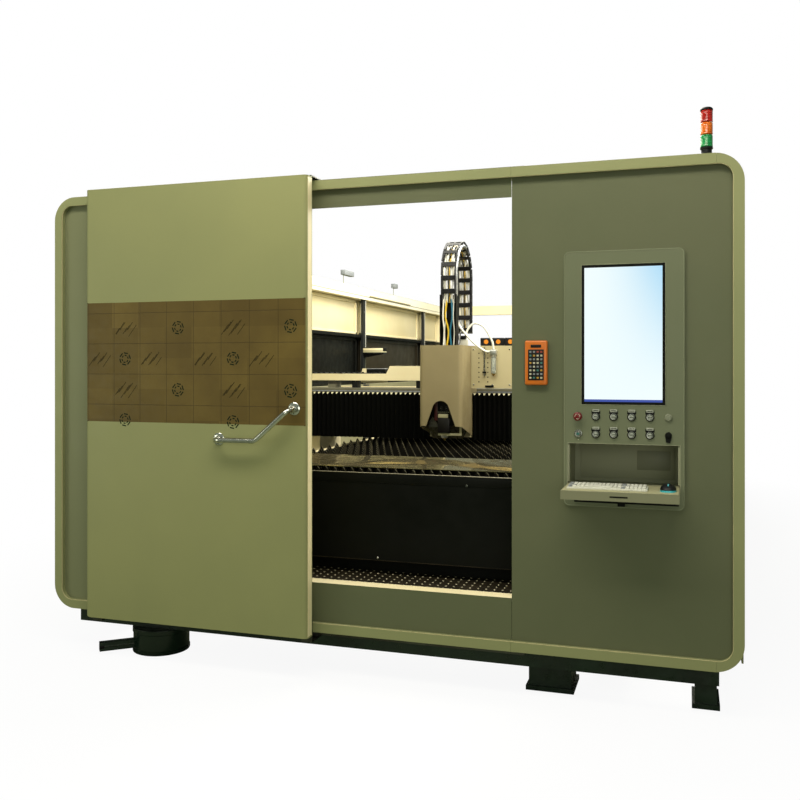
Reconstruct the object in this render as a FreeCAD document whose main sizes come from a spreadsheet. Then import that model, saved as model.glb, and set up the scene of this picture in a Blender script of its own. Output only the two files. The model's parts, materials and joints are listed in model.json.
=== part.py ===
"""Enclosed gantry laser cutting machine.

Frame of the model: +X to the right along the front, +Y into the depth of the machine, +Z up, floor at Z = 0.
The origin is the middle of the footprint. Millimetres throughout. Every size comes from the sheet "Sizes".
"""
import FreeCAD
import Part
import Sketcher
import math
import os
import re

from FreeCAD import Vector

os.makedirs("parts", exist_ok=True)
doc = FreeCAD.newDocument("laser_cutting_machine")

# ---------------------------------------------------------------------------------------------------------
# Driving dimensions
# ---------------------------------------------------------------------------------------------------------
SIZES = {
    # enclosure
    "enclosure_width": 3540, "enclosure_depth": 7800, "base_height": 220, "face_height": 2240,
    "border_width": 45, "border_depth": 90, "panel_recess": 28, "corner_radius": 125, "inner_radius": 62,
    "sheet_gauge": 3, "seam_gap": 0.8, "seam_x": 760, "corner_seam": 115,
    "doorway_left": -440, "sill_height": 460, "head_height": 2325, "ledge_depth": 80, "ledge_fold": 18,
    "wall_height": 2350, "wall_skin": 8, "band_height": 120, "band_depth": 120, "shelf_height": 1840,
    "shelf_gauge": 20, "shelf_depth": 80, "plinth_height": 1350, "plinth_depth": 125, "plinth_gauge": 6,
    "post_pitch": 2200, "post_first": 200, "post_width": 80, "post_proud": 25,
    "bar_reach": 225, "bar_height": 70, "bar_level": 1662, "bar_width": 90,
    "portal_depth": 100, "portal_post": 120, "portal_beam": 120, "portal_panel": 640,
    # base and feet
    "base_top": 240, "base_bottom": 130, "base_setback": 90, "base_beam": 120, "base_margin": 100,
    "foot_width": 200, "foot_pad": 226, "foot_pad_gauge": 22, "side_foot_x": 1590,
    "round_foot_radius": 148, "round_foot_x": -1200, "front_foot_x": 917, "narrow_foot_width": 94,
    "lever_radius": 22, "lever_length": 175, "lever_height": 45,
    # bed
    "bed_front": 345, "bed_length": 3400, "bed_beam_inner": 1060, "bed_beam_width": 220, "bed_beam_top": 860,
    "bed_plate_top": 942, "bed_plate_low": 518, "bed_plate_gauge": 6, "guide_rail_width": 35, "guide_rail_height": 30,
    "kick_depth": 102, "tread_height": 442, "tread_gauge": 5, "tread_half_width": 900,
    # pallet
    "pallet_front": 352, "pallet_length": 3060, "pallet_half_width": 905, "pallet_side": 50,
    "pallet_bottom": 742, "pallet_top": 955, "slat_tip": 1000, "slat_height": 150, "slat_gauge": 5,
    "slat_pitch": 190, "tooth_pitch": 75, "tooth_height": 34, "end_bar_height": 60,
    "wheel_radius": 50, "wheel_width": 40, "axle_radius": 15, "wheel_inset": 300, "rail_top": 720,
    "rail_flange": 60, "rail_flange_gauge": 20, "rail_web": 16, "running_gap": 0.3,
    "sheet_length": 580, "sheet_start": 40, "work_sheet_gauge": 3, "work_sheet_width": 1500,
    # gantry
    "gantry_front": 2000, "gantry_half_length": 1240, "beam_depth": 300, "beam_setback": 180,
    "beam_bottom": 1060, "beam_top": 1360, "truck_length": 420, "truck_width": 150,
    "beam_lip_gauge": 15, "lip_setback": 172,
    "beam_rail_size": 30, "beam_rail_low": 1110, "beam_rail_high": 1310,
    "bellows_low": 1022, "bellows_high": 1350, "bellows_depth": 120, "fold_pitch": 35, "fold_depth": 16,
    "bellows_end": 1180, "trough_low": 1430, "trough_height": 52, "trough_depth": 120, "trough_gauge": 3,
    "trough_setback": 240, "trough_leg": 60, "trough_leg_x": 1050,
    "hood_left": -610, "hood_right": -300,
    "hood_height": 110, "hood_slope": 30, "x_chain_height": 62, "x_chain_width": 90,
    "x_chain_low": 1433, "x_chain_high": 1684, "x_chain_end": 1130, "x_link_pitch": 90,
    # carriage and cutting head
    "cover_left": -190, "cover_right": 105, "cover_front": 1700, "cover_top": 1680, "cover_bottom": 1135,
    "cover_back": 2145, "cover_skirt": 1016, "cover_radius": 28, "arch_x": -40, "arch_width": 204,
    "arch_height": 171, "arch_radius": 58, "spine_front": 1960, "spine_gauge": 35, "saddle_low": 1045,
    "saddle_high": 1345, "riser_right": 450, "riser_low": 1385, "riser_gauge": 10,
    "head_axis_x": -45, "head_axis_depth": 1820, "slide_gauge": 20, "slide_width": 150, "slide_low": 1150,
    "slide_high": 1555, "head_radius": 42, "head_low": 1100, "head_high": 1420, "nozzle_low": 1030,
    "nozzle_radius": 14, "z_rail_size": 15,
    "chain_x": -20, "chain_width": 108, "chain_link_height": 46, "chain_pitch": 90, "chain_radius": 225,
    "chain_near_depth": 1850, "chain_near_low": 1975, "chain_far_low": 1790, "chain_apex": 2420,
    "chain_plate": 12, "chain_bar": 26, "channel_top": 2030, "channel_gauge": 4, "arm_gauge": 12,
    "channel_depth": 70, "channel_width": 116, "filter_x": 268, "filter_radius": 22, "filter_low": 1470, "filter_high": 1655,
    "hose_radius": 7, "hose_sway": 6, "hose_bow": 90, "hose_crest": 190, "loop_reach": 150, "loop_crest": 130,
    # door
    "door_left": -1487, "door_width": 1273, "door_travel": 1030, "door_bottom": 217, "door_rise": 8,
    "door_front": 110, "door_thickness": 60, "door_gauge": 3, "door_edge_radius": 22, "door_return": 45,
    "door_corner": 28,
    "window_bottom": 1250, "window_top": 1870,
    "pane_gauge": 4, "window_margin": 60, "handle_radius": 12.5, "handle_standoff": 65, "handle_bend": 40,
    "rosette_radius": 31, "rosette_gauge": 6, "handle_low_x": -694, "handle_low_z": 1175,
    "handle_knee_x": -464, "handle_high_x": -282, "handle_high_z": 1332,
    "hanger_width": 90, "hanger_gauge": 6,
    "track_height": 10, "track_width": 40, "track_setback": 40, "shoe_width": 60, "shoe_drop": 36,
    "guide_drop": 25, "guide_gauge": 10, "guide_setback": 45,
    # console
    "console_left": 1000, "console_right": 1526, "console_bottom": 905, "console_top": 2060,
    "console_radius": 25, "console_proud": 12, "monitor_left": 1081, "monitor_right": 1444,
    "monitor_bottom": 1367, "monitor_top": 1995, "monitor_rim": 12, "monitor_depth": 55, "screen_gauge": 4,
    "screen_recess": 3, "niche_left": 1018, "niche_right": 1506, "niche_bottom": 985, "niche_top": 1190,
    "niche_depth": 290, "niche_gauge": 2, "button_first_x": 1066, "button_pitch": 78.2,
    "button_row_high": 1313, "button_row_low": 1234, "collar_radius": 15, "collar_depth": 10,
    "button_gap": 0.3, "button_proud": 2, "button_travel": 3, "button_radius": 10,
    "legend_width": 40, "legend_height": 13, "legend_rise": 26, "legend_gauge": 1.5,
    "stop_radius": 20, "stop_gauge": 14, "stop_standoff": 16, "stop_stem_radius": 9.7,
    "rotor_radius": 9.2, "key_slot_width": 2.5, "key_slot_depth": 4,
    "drawer_gap": 0.3, "drawer_height": 20, "drawer_overlap": 45, "lip_height": 38, "lip_gauge": 12,
    "tray_reach": 230, "keyboard_width": 340, "keyboard_depth": 120, "keyboard_height": 18,
    "keyboard_inset": 60, "keyboard_side": 18, "mouse_side": 30, "finger_width": 110,
    "finger_height": 14, "finger_drop": 30, "mouse_width": 58, "mouse_length": 100, "mouse_height": 32,
    "remote_x": 876, "remote_bottom": 1452, "remote_width": 104, "remote_height": 205, "remote_depth": 26,
    # stack light
    "stack_x": 1616, "stack_radius": 27, "stack_base": 34, "stack_lens": 54, "stack_cap": 14,
}

sheet = doc.addObject("Spreadsheet::Sheet", "Sizes")
for row, (alias, value) in enumerate(SIZES.items(), start=1):
    sheet.set("A%d" % row, alias)
    sheet.set("B%d" % row, str(value))
    sheet.setAlias("B%d" % row, alias)
doc.recompute()

# Places that follow from the sizes, written as formulas of the sheet
FACE = "((tray_reach - enclosure_depth) / 2)"
HALF = "(enclosure_width / 2)"
FACE_TOP = "(base_height + face_height)"
DOOR_TOP = "(%s + door_rise)" % FACE_TOP
PANEL_Y = "(%s + panel_recess)" % FACE
PANEL_BACK = "(%s + sheet_gauge)" % PANEL_Y
REAR = "(%s + enclosure_depth)" % FACE
PLATE_Y = "(%s - console_proud)" % PANEL_Y
DOOR_Y = "(%s - door_front)" % FACE
DOOR_BACK = "(%s + door_thickness)" % DOOR_Y
DOOR_RIGHT = "(door_left + door_width)"


def bound(text):
    """Turn plain size names in a formula into references to the sheet."""
    return re.sub(r"[A-Za-z_]\w*", lambda word: "Sizes." + word.group(0), str(text))


def number(text):
    """Value of a formula of sizes, worked out by the document so that it means the same as a bound one."""
    result = sheet.evalExpression(bound(text))
    return float(getattr(result, "Value", result))


# ---------------------------------------------------------------------------------------------------------
# Small modelling vocabulary: each call makes one document object with its sizes bound to the sheet
# ---------------------------------------------------------------------------------------------------------
PLANES = {"front": "XZ_Plane", "side": "YZ_Plane", "top": "XY_Plane"}
TURNS = {"X": FreeCAD.Rotation(Vector(0, 1, 0), 90), "Y": FreeCAD.Rotation(Vector(1, 0, 0), -90),
         "Z": FreeCAD.Rotation()}


def place(item, x=0, y=0, z=0):
    for axis, text in zip("xyz", (x, y, z)):
        item.setExpression(".Placement.Base." + axis, bound(text))
    return item


def box(name, x, y, z, length, width, height):
    item = doc.addObject("Part::Box", name)
    for side, text in (("Length", length), ("Width", width), ("Height", height)):
        item.setExpression(side, bound(text))
    return place(item, x, y, z)


def rod(name, axis, x, y, z, radius, height):
    item = doc.addObject("Part::Cylinder", name)
    item.Placement.Rotation = TURNS[axis]
    item.setExpression("Radius", bound(radius))
    item.setExpression("Height", bound(height))
    return place(item, x, y, z)


def turned(name, axis, x, y, z, stations, sides=16):
    """A turned piece with few flats: regular outlines at each (radius, height), joined by ruled faces.

    Two stations at one height make a step: the piece below it and the piece above it are fused there."""
    runs, run = [], []
    for k, (radius, height) in enumerate(stations):
        if run and stations[k - 1][1] == height:
            runs.append(run)
            run = []
        ring = doc.addObject("Part::RegularPolygon", "%s_ring_%d" % (name, k))
        ring.Polygon = sides
        ring.Placement.Rotation = TURNS[axis]
        ring.setExpression("Circumradius", bound(radius))
        spot = {"X": x, "Y": y, "Z": z}
        spot[axis] = "%s + %s" % (spot[axis], height)
        run.append(place(ring, spot["X"], spot["Y"], spot["Z"]))
    runs.append(run)
    doc.recompute()
    bands = []
    for k, rings in enumerate(runs):
        label = name if len(runs) == 1 else "%s_band_%d" % (name, k)
        if len({round(ring.Circumradius.Value, 6) for ring in rings}) > 1:
            bands.append(made(label, flat_sided([[v.Point for v in ring.Shape.Vertexes] for ring in rings])))
            continue
        band = doc.addObject("Part::Loft", label)
        band.Sections = rings
        band.Solid = True
        band.Ruled = True
        bands.append(band)
    return bands[0] if len(bands) == 1 else fuse(name, bands)


def flat_sided(rings):
    """Solid through rings of points, each the same count, with one flat face between neighbours."""
    faces = [Part.Face(Part.makePolygon(ring + ring[:1])) for ring in (rings[0], rings[-1])]
    for low, high in zip(rings, rings[1:]):
        for k in range(len(low)):
            after = (k + 1) % len(low)
            faces.append(Part.Face(Part.makePolygon([low[k], low[after], high[after], high[k], low[k]])))
    shell = Part.Shell(faces)
    shell.sewShape()
    solid = Part.Solid(shell)
    if solid.Volume < 0:
        solid.reverse()
    return solid


def fuse(name, items):
    item = doc.addObject("Part::MultiFuse", name)
    item.Shapes = items
    return item


def cut(name, base, tool):
    item = doc.addObject("Part::Cut", name)
    item.Base = base
    item.Tool = tool
    return item


def common(name, base, tool):
    item = doc.addObject("Part::Common", name)
    item.Base = base
    item.Tool = tool
    return item


def group(name, items):
    """Separate solids of one kind, kept as one node."""
    item = doc.addObject("Part::Compound", name)
    item.Links = items
    return item


def made(name, shape):
    """A shape computed point by point from the sheet."""
    item = doc.addObject("Part::Feature", name)
    item.Shape = shape
    return item


def fix_point(sketch, geometry, end, along, up):
    for kind, text in (("DistanceX", along), ("DistanceY", up)):
        index = sketch.addConstraint(Sketcher.Constraint(kind, -1, 1, geometry, end, number(text)))
        sketch.setExpression("Constraints[%d]" % index, bound(text))


def add_polygon(sketch, corners):
    points = [Vector(number(a), number(b), 0) for a, b in corners]
    first = sketch.GeometryCount
    count = len(points)
    for k in range(count):
        sketch.addGeometry(Part.LineSegment(points[k], points[(k + 1) % count]), False)
    for k in range(count):
        sketch.addConstraint(
            Sketcher.Constraint("Coincident", first + k, 2, first + (k + 1) % count, 1))
        fix_point(sketch, first + k, 1, *corners[k])


def add_rounded(sketch, left, bottom, right, top, radius):
    """A rectangle with rounded corners: four lines, four tangent arcs."""
    x0, z0, x1, z1, r = (number(t) for t in (left, bottom, right, top, radius))
    first = sketch.GeometryCount
    lines = [((x0 + r, z0), (x1 - r, z0)), ((x1, z0 + r), (x1, z1 - r)),
             ((x1 - r, z1), (x0 + r, z1)), ((x0, z1 - r), (x0, z0 + r))]
    centres = [(x1 - r, z0 + r), (x1 - r, z1 - r), (x0 + r, z1 - r), (x0 + r, z0 + r)]
    for k, (start, end) in enumerate(lines):
        sketch.addGeometry(Part.LineSegment(Vector(*start, 0), Vector(*end, 0)), False)
        circle = Part.Circle(Vector(*centres[k], 0), Vector(0, 0, 1), r)
        angle = math.pi / 2 * (k - 1)
        sketch.addGeometry(Part.ArcOfCircle(circle, angle, angle + math.pi / 2), False)
    for k in range(4):
        line, arc, after = first + 2 * k, first + 2 * k + 1, first + (2 * k + 2) % 8
        sketch.addConstraint(Sketcher.Constraint("Tangent", line, 2, arc, 1))
        sketch.addConstraint(Sketcher.Constraint("Tangent", arc, 2, after, 1))
        sketch.addConstraint(Sketcher.Constraint("Horizontal" if k % 2 == 0 else "Vertical", line))
        if k:
            sketch.addConstraint(Sketcher.Constraint("Equal", first + 1, arc))
    index = sketch.addConstraint(Sketcher.Constraint("Radius", first + 1, r))
    sketch.setExpression("Constraints[%d]" % index, bound(radius))
    for kind, geometry, end, text in (("DistanceY", first, 1, bottom), ("DistanceX", first + 2, 1, right),
                                      ("DistanceY", first + 4, 1, top), ("DistanceX", first + 6, 1, left)):
        index = sketch.addConstraint(Sketcher.Constraint(kind, -1, 1, geometry, end, number(text)))
        sketch.setExpression("Constraints[%d]" % index, bound(text))


def add_round(sketch, along, up, radius):
    centre = Vector(number(along), number(up), 0)
    index = sketch.addGeometry(Part.Circle(centre, Vector(0, 0, 1), number(radius)), False)
    fix_point(sketch, index, 3, along, up)
    datum = sketch.addConstraint(Sketcher.Constraint("Radius", index, number(radius)))
    sketch.setExpression("Constraints[%d]" % datum, bound(radius))


OUTLINES = {"polygon": add_polygon, "rounded": add_rounded, "round": add_round}


def pad(name, view, loops, start, length):
    """A profile drawn in one view and padded along that view's depth, from start towards plus."""
    body = doc.addObject("PartDesign::Body", name)
    sketch = body.newObject("Sketcher::SketchObject", name + "_sketch")
    plane = [f for f in body.Origin.OriginFeatures if f.Role == PLANES[view]][0]
    sketch.AttachmentSupport = [(plane, "")]
    sketch.MapMode = "FlatFace"
    for kind, *values in loops:
        OUTLINES[kind](sketch, *values)
    feature = body.newObject("PartDesign::Pad", name + "_pad")
    feature.Profile = sketch
    feature.setExpression("Length", bound(length))
    feature.Reversed = view == "front"
    place(body, **{{"front": "y", "side": "x", "top": "z"}[view]: start})
    return body


nodes = []


def node(item, name=None):
    """Mark an object as a finished piece of the machine."""
    item.Label = name or item.Name
    nodes.append(item)
    return item


# ---------------------------------------------------------------------------------------------------------
# Base frame and feet
# ---------------------------------------------------------------------------------------------------------
BASE_FRONT = "(%s + base_setback)" % FACE
BASE_LENGTH = "(enclosure_depth - 2 * base_setback)"
BASE_HALF = "(%s - base_margin)" % HALF


def build_base():
    """Welded ladder frame of square tube under the whole enclosure."""
    height = "base_top - base_bottom"
    beams = [box("base_long_%s" % side, x, BASE_FRONT, "base_bottom", "base_beam", BASE_LENGTH, height)
             for side, x in (("left", "-" + BASE_HALF), ("right", BASE_HALF + " - base_beam"))]
    for k in range(6):
        y = "%s + (%s - base_beam) * %d / 5" % (BASE_FRONT, BASE_LENGTH, k)
        beams.append(box("base_cross_%d" % k, "-%s + base_beam / 2" % BASE_HALF, y, "base_bottom",
                         "2 * %s - base_beam" % BASE_HALF, "base_beam", height))
    node(fuse("base_frame", beams))


def block_foot(name, x, y, width):
    """Stout block on a levelling pad, under a beam of the base."""
    pad_width = "(%s + foot_pad - foot_width)" % width
    block = box(name + "_block", "%s - %s / 2" % (x, width), "%s - foot_width / 2" % y, "foot_pad_gauge",
                width, "foot_width", "base_bottom - foot_pad_gauge")
    plate = box(name + "_pad", "%s - %s / 2" % (x, pad_width), "%s - foot_pad / 2" % y, "0",
                pad_width, "foot_pad", "foot_pad_gauge")
    return fuse(name, [block, plate])


# Direction of the jacking lever, towards the front left
LEVER_WAY = (0.76, 0.65)


def round_foot(name, x, y):
    """Thick round column with the stub of its jacking lever."""
    column = turned(name + "_column", "Z", x, y, "0",
                    [("round_foot_radius", "0"), ("round_foot_radius", "base_bottom")])
    across, along = LEVER_WAY
    corners = [("%s - %g * %s + %g * lever_radius" % (x, across, reach, side * along),
                "%s - %g * %s - %g * lever_radius" % (y, along, reach, side * across))
               for reach, side in (("round_foot_radius / 2", 1), ("(round_foot_radius + lever_length)", 1),
                                   ("(round_foot_radius + lever_length)", -1), ("round_foot_radius / 2", -1))]
    lever = pad(name + "_lever", "top", [("polygon", corners)], "lever_height - lever_radius",
                "2 * lever_radius")
    return fuse(name, [column, lever])


def build_feet():
    front = "(%s + base_beam + foot_width / 4)" % BASE_FRONT
    feet = [round_foot("foot_round", "round_foot_x", "(%s + base_beam * 0.6)" % BASE_FRONT),
            block_foot("foot_front", "front_foot_x", front, "foot_width"),
            block_foot("foot_corner", "(%s - narrow_foot_width * 0.58)" % BASE_HALF, front,
                       "narrow_foot_width")]
    for k in range(1, 4):
        y = "(%s + (%s - base_beam) * %d / 5 + base_beam / 2)" % (BASE_FRONT, BASE_LENGTH, 2 * k - 1)
        for side, x in (("left", "(-side_foot_x)"), ("right", "side_foot_x")):
            feet.append(block_foot("foot_%s_%d" % (side, k), x, y, "foot_width"))
    node(group("levelling_feet", feet))


# ---------------------------------------------------------------------------------------------------------
# Front face: painted border in four sections, panels, sill
# ---------------------------------------------------------------------------------------------------------
INNER = ("-%s + border_width" % HALF, "base_height + border_width",
         "%s - border_width" % HALF, "%s - border_width" % FACE_TOP, "inner_radius")


def build_border():
    ring = pad("border_ring", "front",
               [("rounded", "-" + HALF, "base_height", HALF, FACE_TOP, "corner_radius"),
                ("rounded",) + INNER], FACE, "border_depth")
    seams = [box("border_seam_%d" % k, "%s - seam_gap / 2" % x, "%s - 1" % FACE, "base_height - 1",
                 "seam_gap", "border_depth + 2", "face_height + 2")
             for k, x in enumerate(("seam_x", "%s - corner_seam" % HALF))]
    node(cut("front_border", ring, fuse("border_seams", seams)))


def build_panels():
    """Grey sheet panels set back inside the border, split at the seam beside the doorway."""
    doorway = ("polygon", [("doorway_left", "sill_height"), ("seam_x - 2 * seam_gap", "sill_height"),
                           ("seam_x - 2 * seam_gap", "head_height"), ("doorway_left", "head_height")])
    left_blank = pad("left_blank", "front", [("rounded",) + INNER, doorway], PANEL_Y, "sheet_gauge")
    left_half = box("left_half", "-" + HALF, "%s - 1" % PANEL_Y, "base_height",
                    "%s + seam_x - 2 * seam_gap" % HALF, "sheet_gauge + 2", "face_height")
    node(common("front_panel", left_blank, left_half))
    monitor = ("polygon", [("monitor_left", "monitor_bottom"), ("monitor_right", "monitor_bottom"),
                           ("monitor_right", "monitor_top"), ("monitor_left", "monitor_top")])
    right_blank = pad("right_blank", "front", [("rounded",) + INNER, monitor, NICHE_HOLE], PANEL_Y,
                      "sheet_gauge")
    right_half = box("right_half", "seam_x", "%s - 1" % PANEL_Y, "base_height", "%s - seam_x" % HALF,
                     "sheet_gauge + 2", "face_height")
    node(common("right_panel", right_blank, right_half))


NICHE_HOLE = ("polygon", [("niche_left - niche_gauge", "niche_bottom"),
                          ("niche_right + niche_gauge", "niche_bottom"),
                          ("niche_right + niche_gauge", "niche_top + niche_gauge"),
                          ("niche_left - niche_gauge", "niche_top + niche_gauge")])


def build_sill():
    """Cream ledge folded inwards from the panel's lower edge of the doorway."""
    section = [(PANEL_BACK, "sill_height"), (PANEL_BACK, "sill_height - ledge_fold"),
               ("%s + sheet_gauge" % PANEL_BACK, "sill_height - ledge_fold"),
               ("%s + sheet_gauge" % PANEL_BACK, "sill_height - sheet_gauge"),
               ("%s + ledge_depth - sheet_gauge" % PANEL_BACK, "sill_height - sheet_gauge"),
               ("%s + ledge_depth - sheet_gauge" % PANEL_BACK, "tread_height"),
               ("%s + ledge_depth" % PANEL_BACK, "tread_height"),
               ("%s + ledge_depth" % PANEL_BACK, "sill_height")]
    node(pad("sill_ledge", "side", [("polygon", section)], "doorway_left",
             "seam_x - 2 * seam_gap - doorway_left"))
    front = "(%s + ledge_depth)" % PANEL_BACK
    back = "(%s + bed_front + kick_depth - bed_plate_gauge)" % FACE
    tread = [(front, "base_top"), ("%s + tread_gauge" % front, "base_top"),
             ("%s + tread_gauge" % front, "tread_height - tread_gauge"),
             ("%s - tread_gauge" % back, "tread_height - tread_gauge"),
             ("%s - tread_gauge" % back, "base_top"), (back, "base_top"), (back, "tread_height"),
             (front, "tread_height")]
    node(pad("tread_plate", "side", [("polygon", tread)], "-tread_half_width", "2 * tread_half_width"))


def build_door_rails():
    """Flat track on top of the border and a guide flange under it."""
    span = "door_width + door_travel"
    left = "door_left"
    track = box("door_track", left, "%s + track_setback" % FACE, FACE_TOP, span, "track_width",
                "track_height")
    guide = box("door_guide", left, "%s + guide_setback" % FACE, "base_height - guide_drop", span,
                "guide_gauge", "guide_drop")
    node(group("door_rails", [track, guide]))


# ---------------------------------------------------------------------------------------------------------
# Side walls, posts and rear portal
# ---------------------------------------------------------------------------------------------------------
WALL_FRONT = "(%s + border_depth)" % FACE
WALL_LENGTH = "(enclosure_depth - border_depth - portal_depth)"


def wall_section(sign):
    """Cross-section of a side wall: thin skin, top band, shelf and a plinth that is open below."""
    def at(depth, level):
        return ("%s(%s - (%s))" % (sign, HALF, depth), level)
    return [at("0", "base_top"), at("0", "wall_height"), at("band_depth", "wall_height"),
            at("band_depth", "wall_height - band_height"), at("wall_skin", "wall_height - band_height"),
            at("wall_skin", "shelf_height + shelf_gauge"), at("shelf_depth", "shelf_height + shelf_gauge"),
            at("shelf_depth", "shelf_height"), at("wall_skin", "shelf_height"),
            at("wall_skin", "plinth_height"), at("plinth_depth", "plinth_height"),
            at("plinth_depth", "base_top"), at("plinth_depth - plinth_gauge", "base_top"),
            at("plinth_depth - plinth_gauge", "plinth_height - plinth_gauge"),
            at("wall_skin", "plinth_height - plinth_gauge"), at("wall_skin", "base_top")]


def build_walls():
    for side, sign in (("left", "-"), ("right", "")):
        node(pad("side_wall_" + side, "front", [("polygon", wall_section(sign))], WALL_FRONT, WALL_LENGTH))
    posts = []
    for k in range(4):
        y = "%s + post_first + %d * post_pitch" % (FACE, k)
        for side, x in (("left", "-%s + shelf_depth" % HALF),
                        ("right", "%s - shelf_depth - post_proud" % HALF)):
            posts.append(box("post_%s_%d" % (side, k), x, y, "plinth_height", "post_proud", "post_width",
                             "wall_height - band_height - plinth_height"))
    bar = box("post_bar", "-%s + shelf_depth + post_proud" % HALF,
              "%s + post_first + 2 * post_pitch" % FACE, "bar_level", "bar_reach", "bar_width",
              "bar_height")
    node(group("wall_posts", posts + [bar]))
    inner = "(%s - portal_post)" % HALF
    rim = [("-" + HALF, "base_top"), (HALF, "base_top"), (HALF, "wall_height"), ("-" + HALF, "wall_height")]
    gate = [("-" + inner, "base_top + portal_panel"), (inner, "base_top + portal_panel"),
            (inner, "wall_height - portal_beam"), ("-" + inner, "wall_height - portal_beam")]
    node(pad("rear_portal", "front", [("polygon", rim), ("polygon", gate)],
             "%s - portal_depth" % REAR, "portal_depth"))


# ---------------------------------------------------------------------------------------------------------
# Bed, rails and pallet
# ---------------------------------------------------------------------------------------------------------
BED_Y = "(%s + bed_front)" % FACE
PALLET_Y = "(%s + pallet_front)" % FACE
AXLE_Z = "(rail_top + wheel_radius + running_gap)"
WHEEL_X = "(pallet_half_width + running_gap + 10)"


def build_bed():
    outer = "(bed_beam_inner + bed_beam_width)"
    beams = [box("bed_beam_" + side, x, BED_Y, "base_top", "bed_beam_width", "bed_length",
                 "bed_beam_top - base_top")
             for side, x in (("left", "-" + outer), ("right", "bed_beam_inner"))]
    plates = [box("bed_plate", "-" + outer, "%s - bed_plate_gauge" % BED_Y, "bed_plate_low", "2 * " + outer,
                  "bed_plate_gauge", "bed_plate_top - bed_plate_low"),
              box("bed_soffit", "-bed_beam_inner", "%s - bed_plate_gauge" % BED_Y, "bed_plate_low",
                  "2 * bed_beam_inner", "kick_depth + bed_plate_gauge", "bed_plate_gauge"),
              box("bed_kick_plate", "-bed_beam_inner", "%s + kick_depth - bed_plate_gauge" % BED_Y, "base_top",
                  "2 * bed_beam_inner", "bed_plate_gauge", "bed_plate_low - base_top + bed_plate_gauge")]
    node(fuse("bed_frame", beams + plates))
    rails = [box("gantry_rail_" + side, "%s(bed_beam_inner + bed_beam_width / 2) - guide_rail_width / 2"
                 % sign, BED_Y, "bed_beam_top", "guide_rail_width", "bed_length", "guide_rail_height")
             for side, sign in (("left", "-"), ("right", ""))]
    node(group("gantry_rails", rails))
    tracks = []
    for side, sign in (("left", "-"), ("right", "")):
        centre = "(%s(%s + wheel_width / 2))" % (sign, WHEEL_X)
        start, reach = "%s + kick_depth" % BED_Y, "enclosure_depth - portal_depth - bed_front - kick_depth"
        flange = box("track_flange_" + side, "%s - rail_flange / 2" % centre, start,
                     "rail_top - rail_flange_gauge", "rail_flange", reach, "rail_flange_gauge")
        web = box("track_web_" + side, "%s - rail_web / 2" % centre, start, "base_top", "rail_web", reach,
                  "rail_top - rail_flange_gauge - base_top")
        tracks.append(fuse("track_" + side, [flange, web]))
    node(group("pallet_rails", tracks))


def slat_shape(length):
    """One sawtooth slat, drawn from the sheet: a whole number of teeth, centred on the slat."""
    pitch, tooth = number("tooth_pitch"), number("tooth_height")
    top, low = number("slat_tip"), number("slat_tip - slat_height")
    count = int(length // pitch)
    start = -count * pitch / 2
    outline = [Vector(length / 2, 0, low), Vector(-length / 2, 0, low), Vector(-length / 2, 0, top - tooth)]
    for k in range(count):
        if k:
            outline.append(Vector(start + k * pitch, 0, top - tooth))
        outline.append(Vector(start + (k + 0.5) * pitch, 0, top))
    outline.append(Vector(length / 2, 0, top - tooth))
    face = Part.Face(Part.makePolygon(outline + outline[:1]))
    return face.extrude(Vector(0, number("slat_gauge"), 0))


def build_pallet():
    inner = "(pallet_half_width - pallet_side)"
    depth = "(pallet_top - pallet_bottom)"
    sides = [box("pallet_side_" + side, x, PALLET_Y, "pallet_bottom", "pallet_side", "pallet_length", depth)
             for side, x in (("left", "-pallet_half_width"), ("right", inner))]
    ends = [box("pallet_end_" + end, "-" + inner, y, "slat_tip - slat_height - end_bar_height",
                "2 * " + inner, "pallet_side", "end_bar_height")
            for end, y in (("front", PALLET_Y), ("rear", "%s + pallet_length - pallet_side" % PALLET_Y),
                           ("middle", "%s + (pallet_length - pallet_side) / 2" % PALLET_Y))]
    notches = [box("axle_notch_%d" % k, "-pallet_half_width - 1",
                   "%s - axle_radius - running_gap" % wheel_y(k), "pallet_bottom - 1",
                   "2 * pallet_half_width + 2", "2 * (axle_radius + running_gap)",
                   "%s + axle_radius + running_gap - pallet_bottom + 1" % AXLE_Z) for k in range(2)]
    node(cut("pallet_frame", fuse("pallet_welded", sides + ends), fuse("axle_notches", notches)))
    length = number("2 * %s" % inner)
    first = number("%s + (pallet_side - slat_gauge) / 2" % PALLET_Y)
    span = number("pallet_length - pallet_side")
    count = int(span // number("slat_pitch"))
    step = span / count
    one = slat_shape(length)
    slats = []
    for k in range(count + 1):
        copy = one.copy()
        copy.translate(Vector(0, first + k * step, 0))
        slats.append(copy)
    node(made("slats", Part.makeCompound(slats)))
    node(box("metal_sheet", "-work_sheet_width / 2", "%s + sheet_start" % PALLET_Y, "slat_tip",
             "work_sheet_width", "sheet_length", "work_sheet_gauge"))
    for k, end in enumerate(("front", "rear")):
        inner, outer = WHEEL_X, "(%s + wheel_width)" % WHEEL_X
        node(turned("wheelset_" + end, "X", "0", wheel_y(k), AXLE_Z,
                    [("wheel_radius", "-" + outer), ("wheel_radius", "-" + inner),
                     ("axle_radius", "-" + inner), ("axle_radius", inner),
                     ("wheel_radius", inner), ("wheel_radius", outer)]))


def wheel_y(k):
    return ("(%s + wheel_inset)" % PALLET_Y, "(%s + pallet_length - wheel_inset)" % PALLET_Y)[k]


# ---------------------------------------------------------------------------------------------------------
# Gantry: beam, trough, cable chain and bellows
# ---------------------------------------------------------------------------------------------------------
GANTRY_Y = "(%s + gantry_front)" % FACE
BEAM_Y = "(%s + beam_setback)" % GANTRY_Y
TRUCK_Z = "(bed_beam_top + guide_rail_height + running_gap)"
RAIL_X = "(bed_beam_inner + bed_beam_width / 2)"


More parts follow.
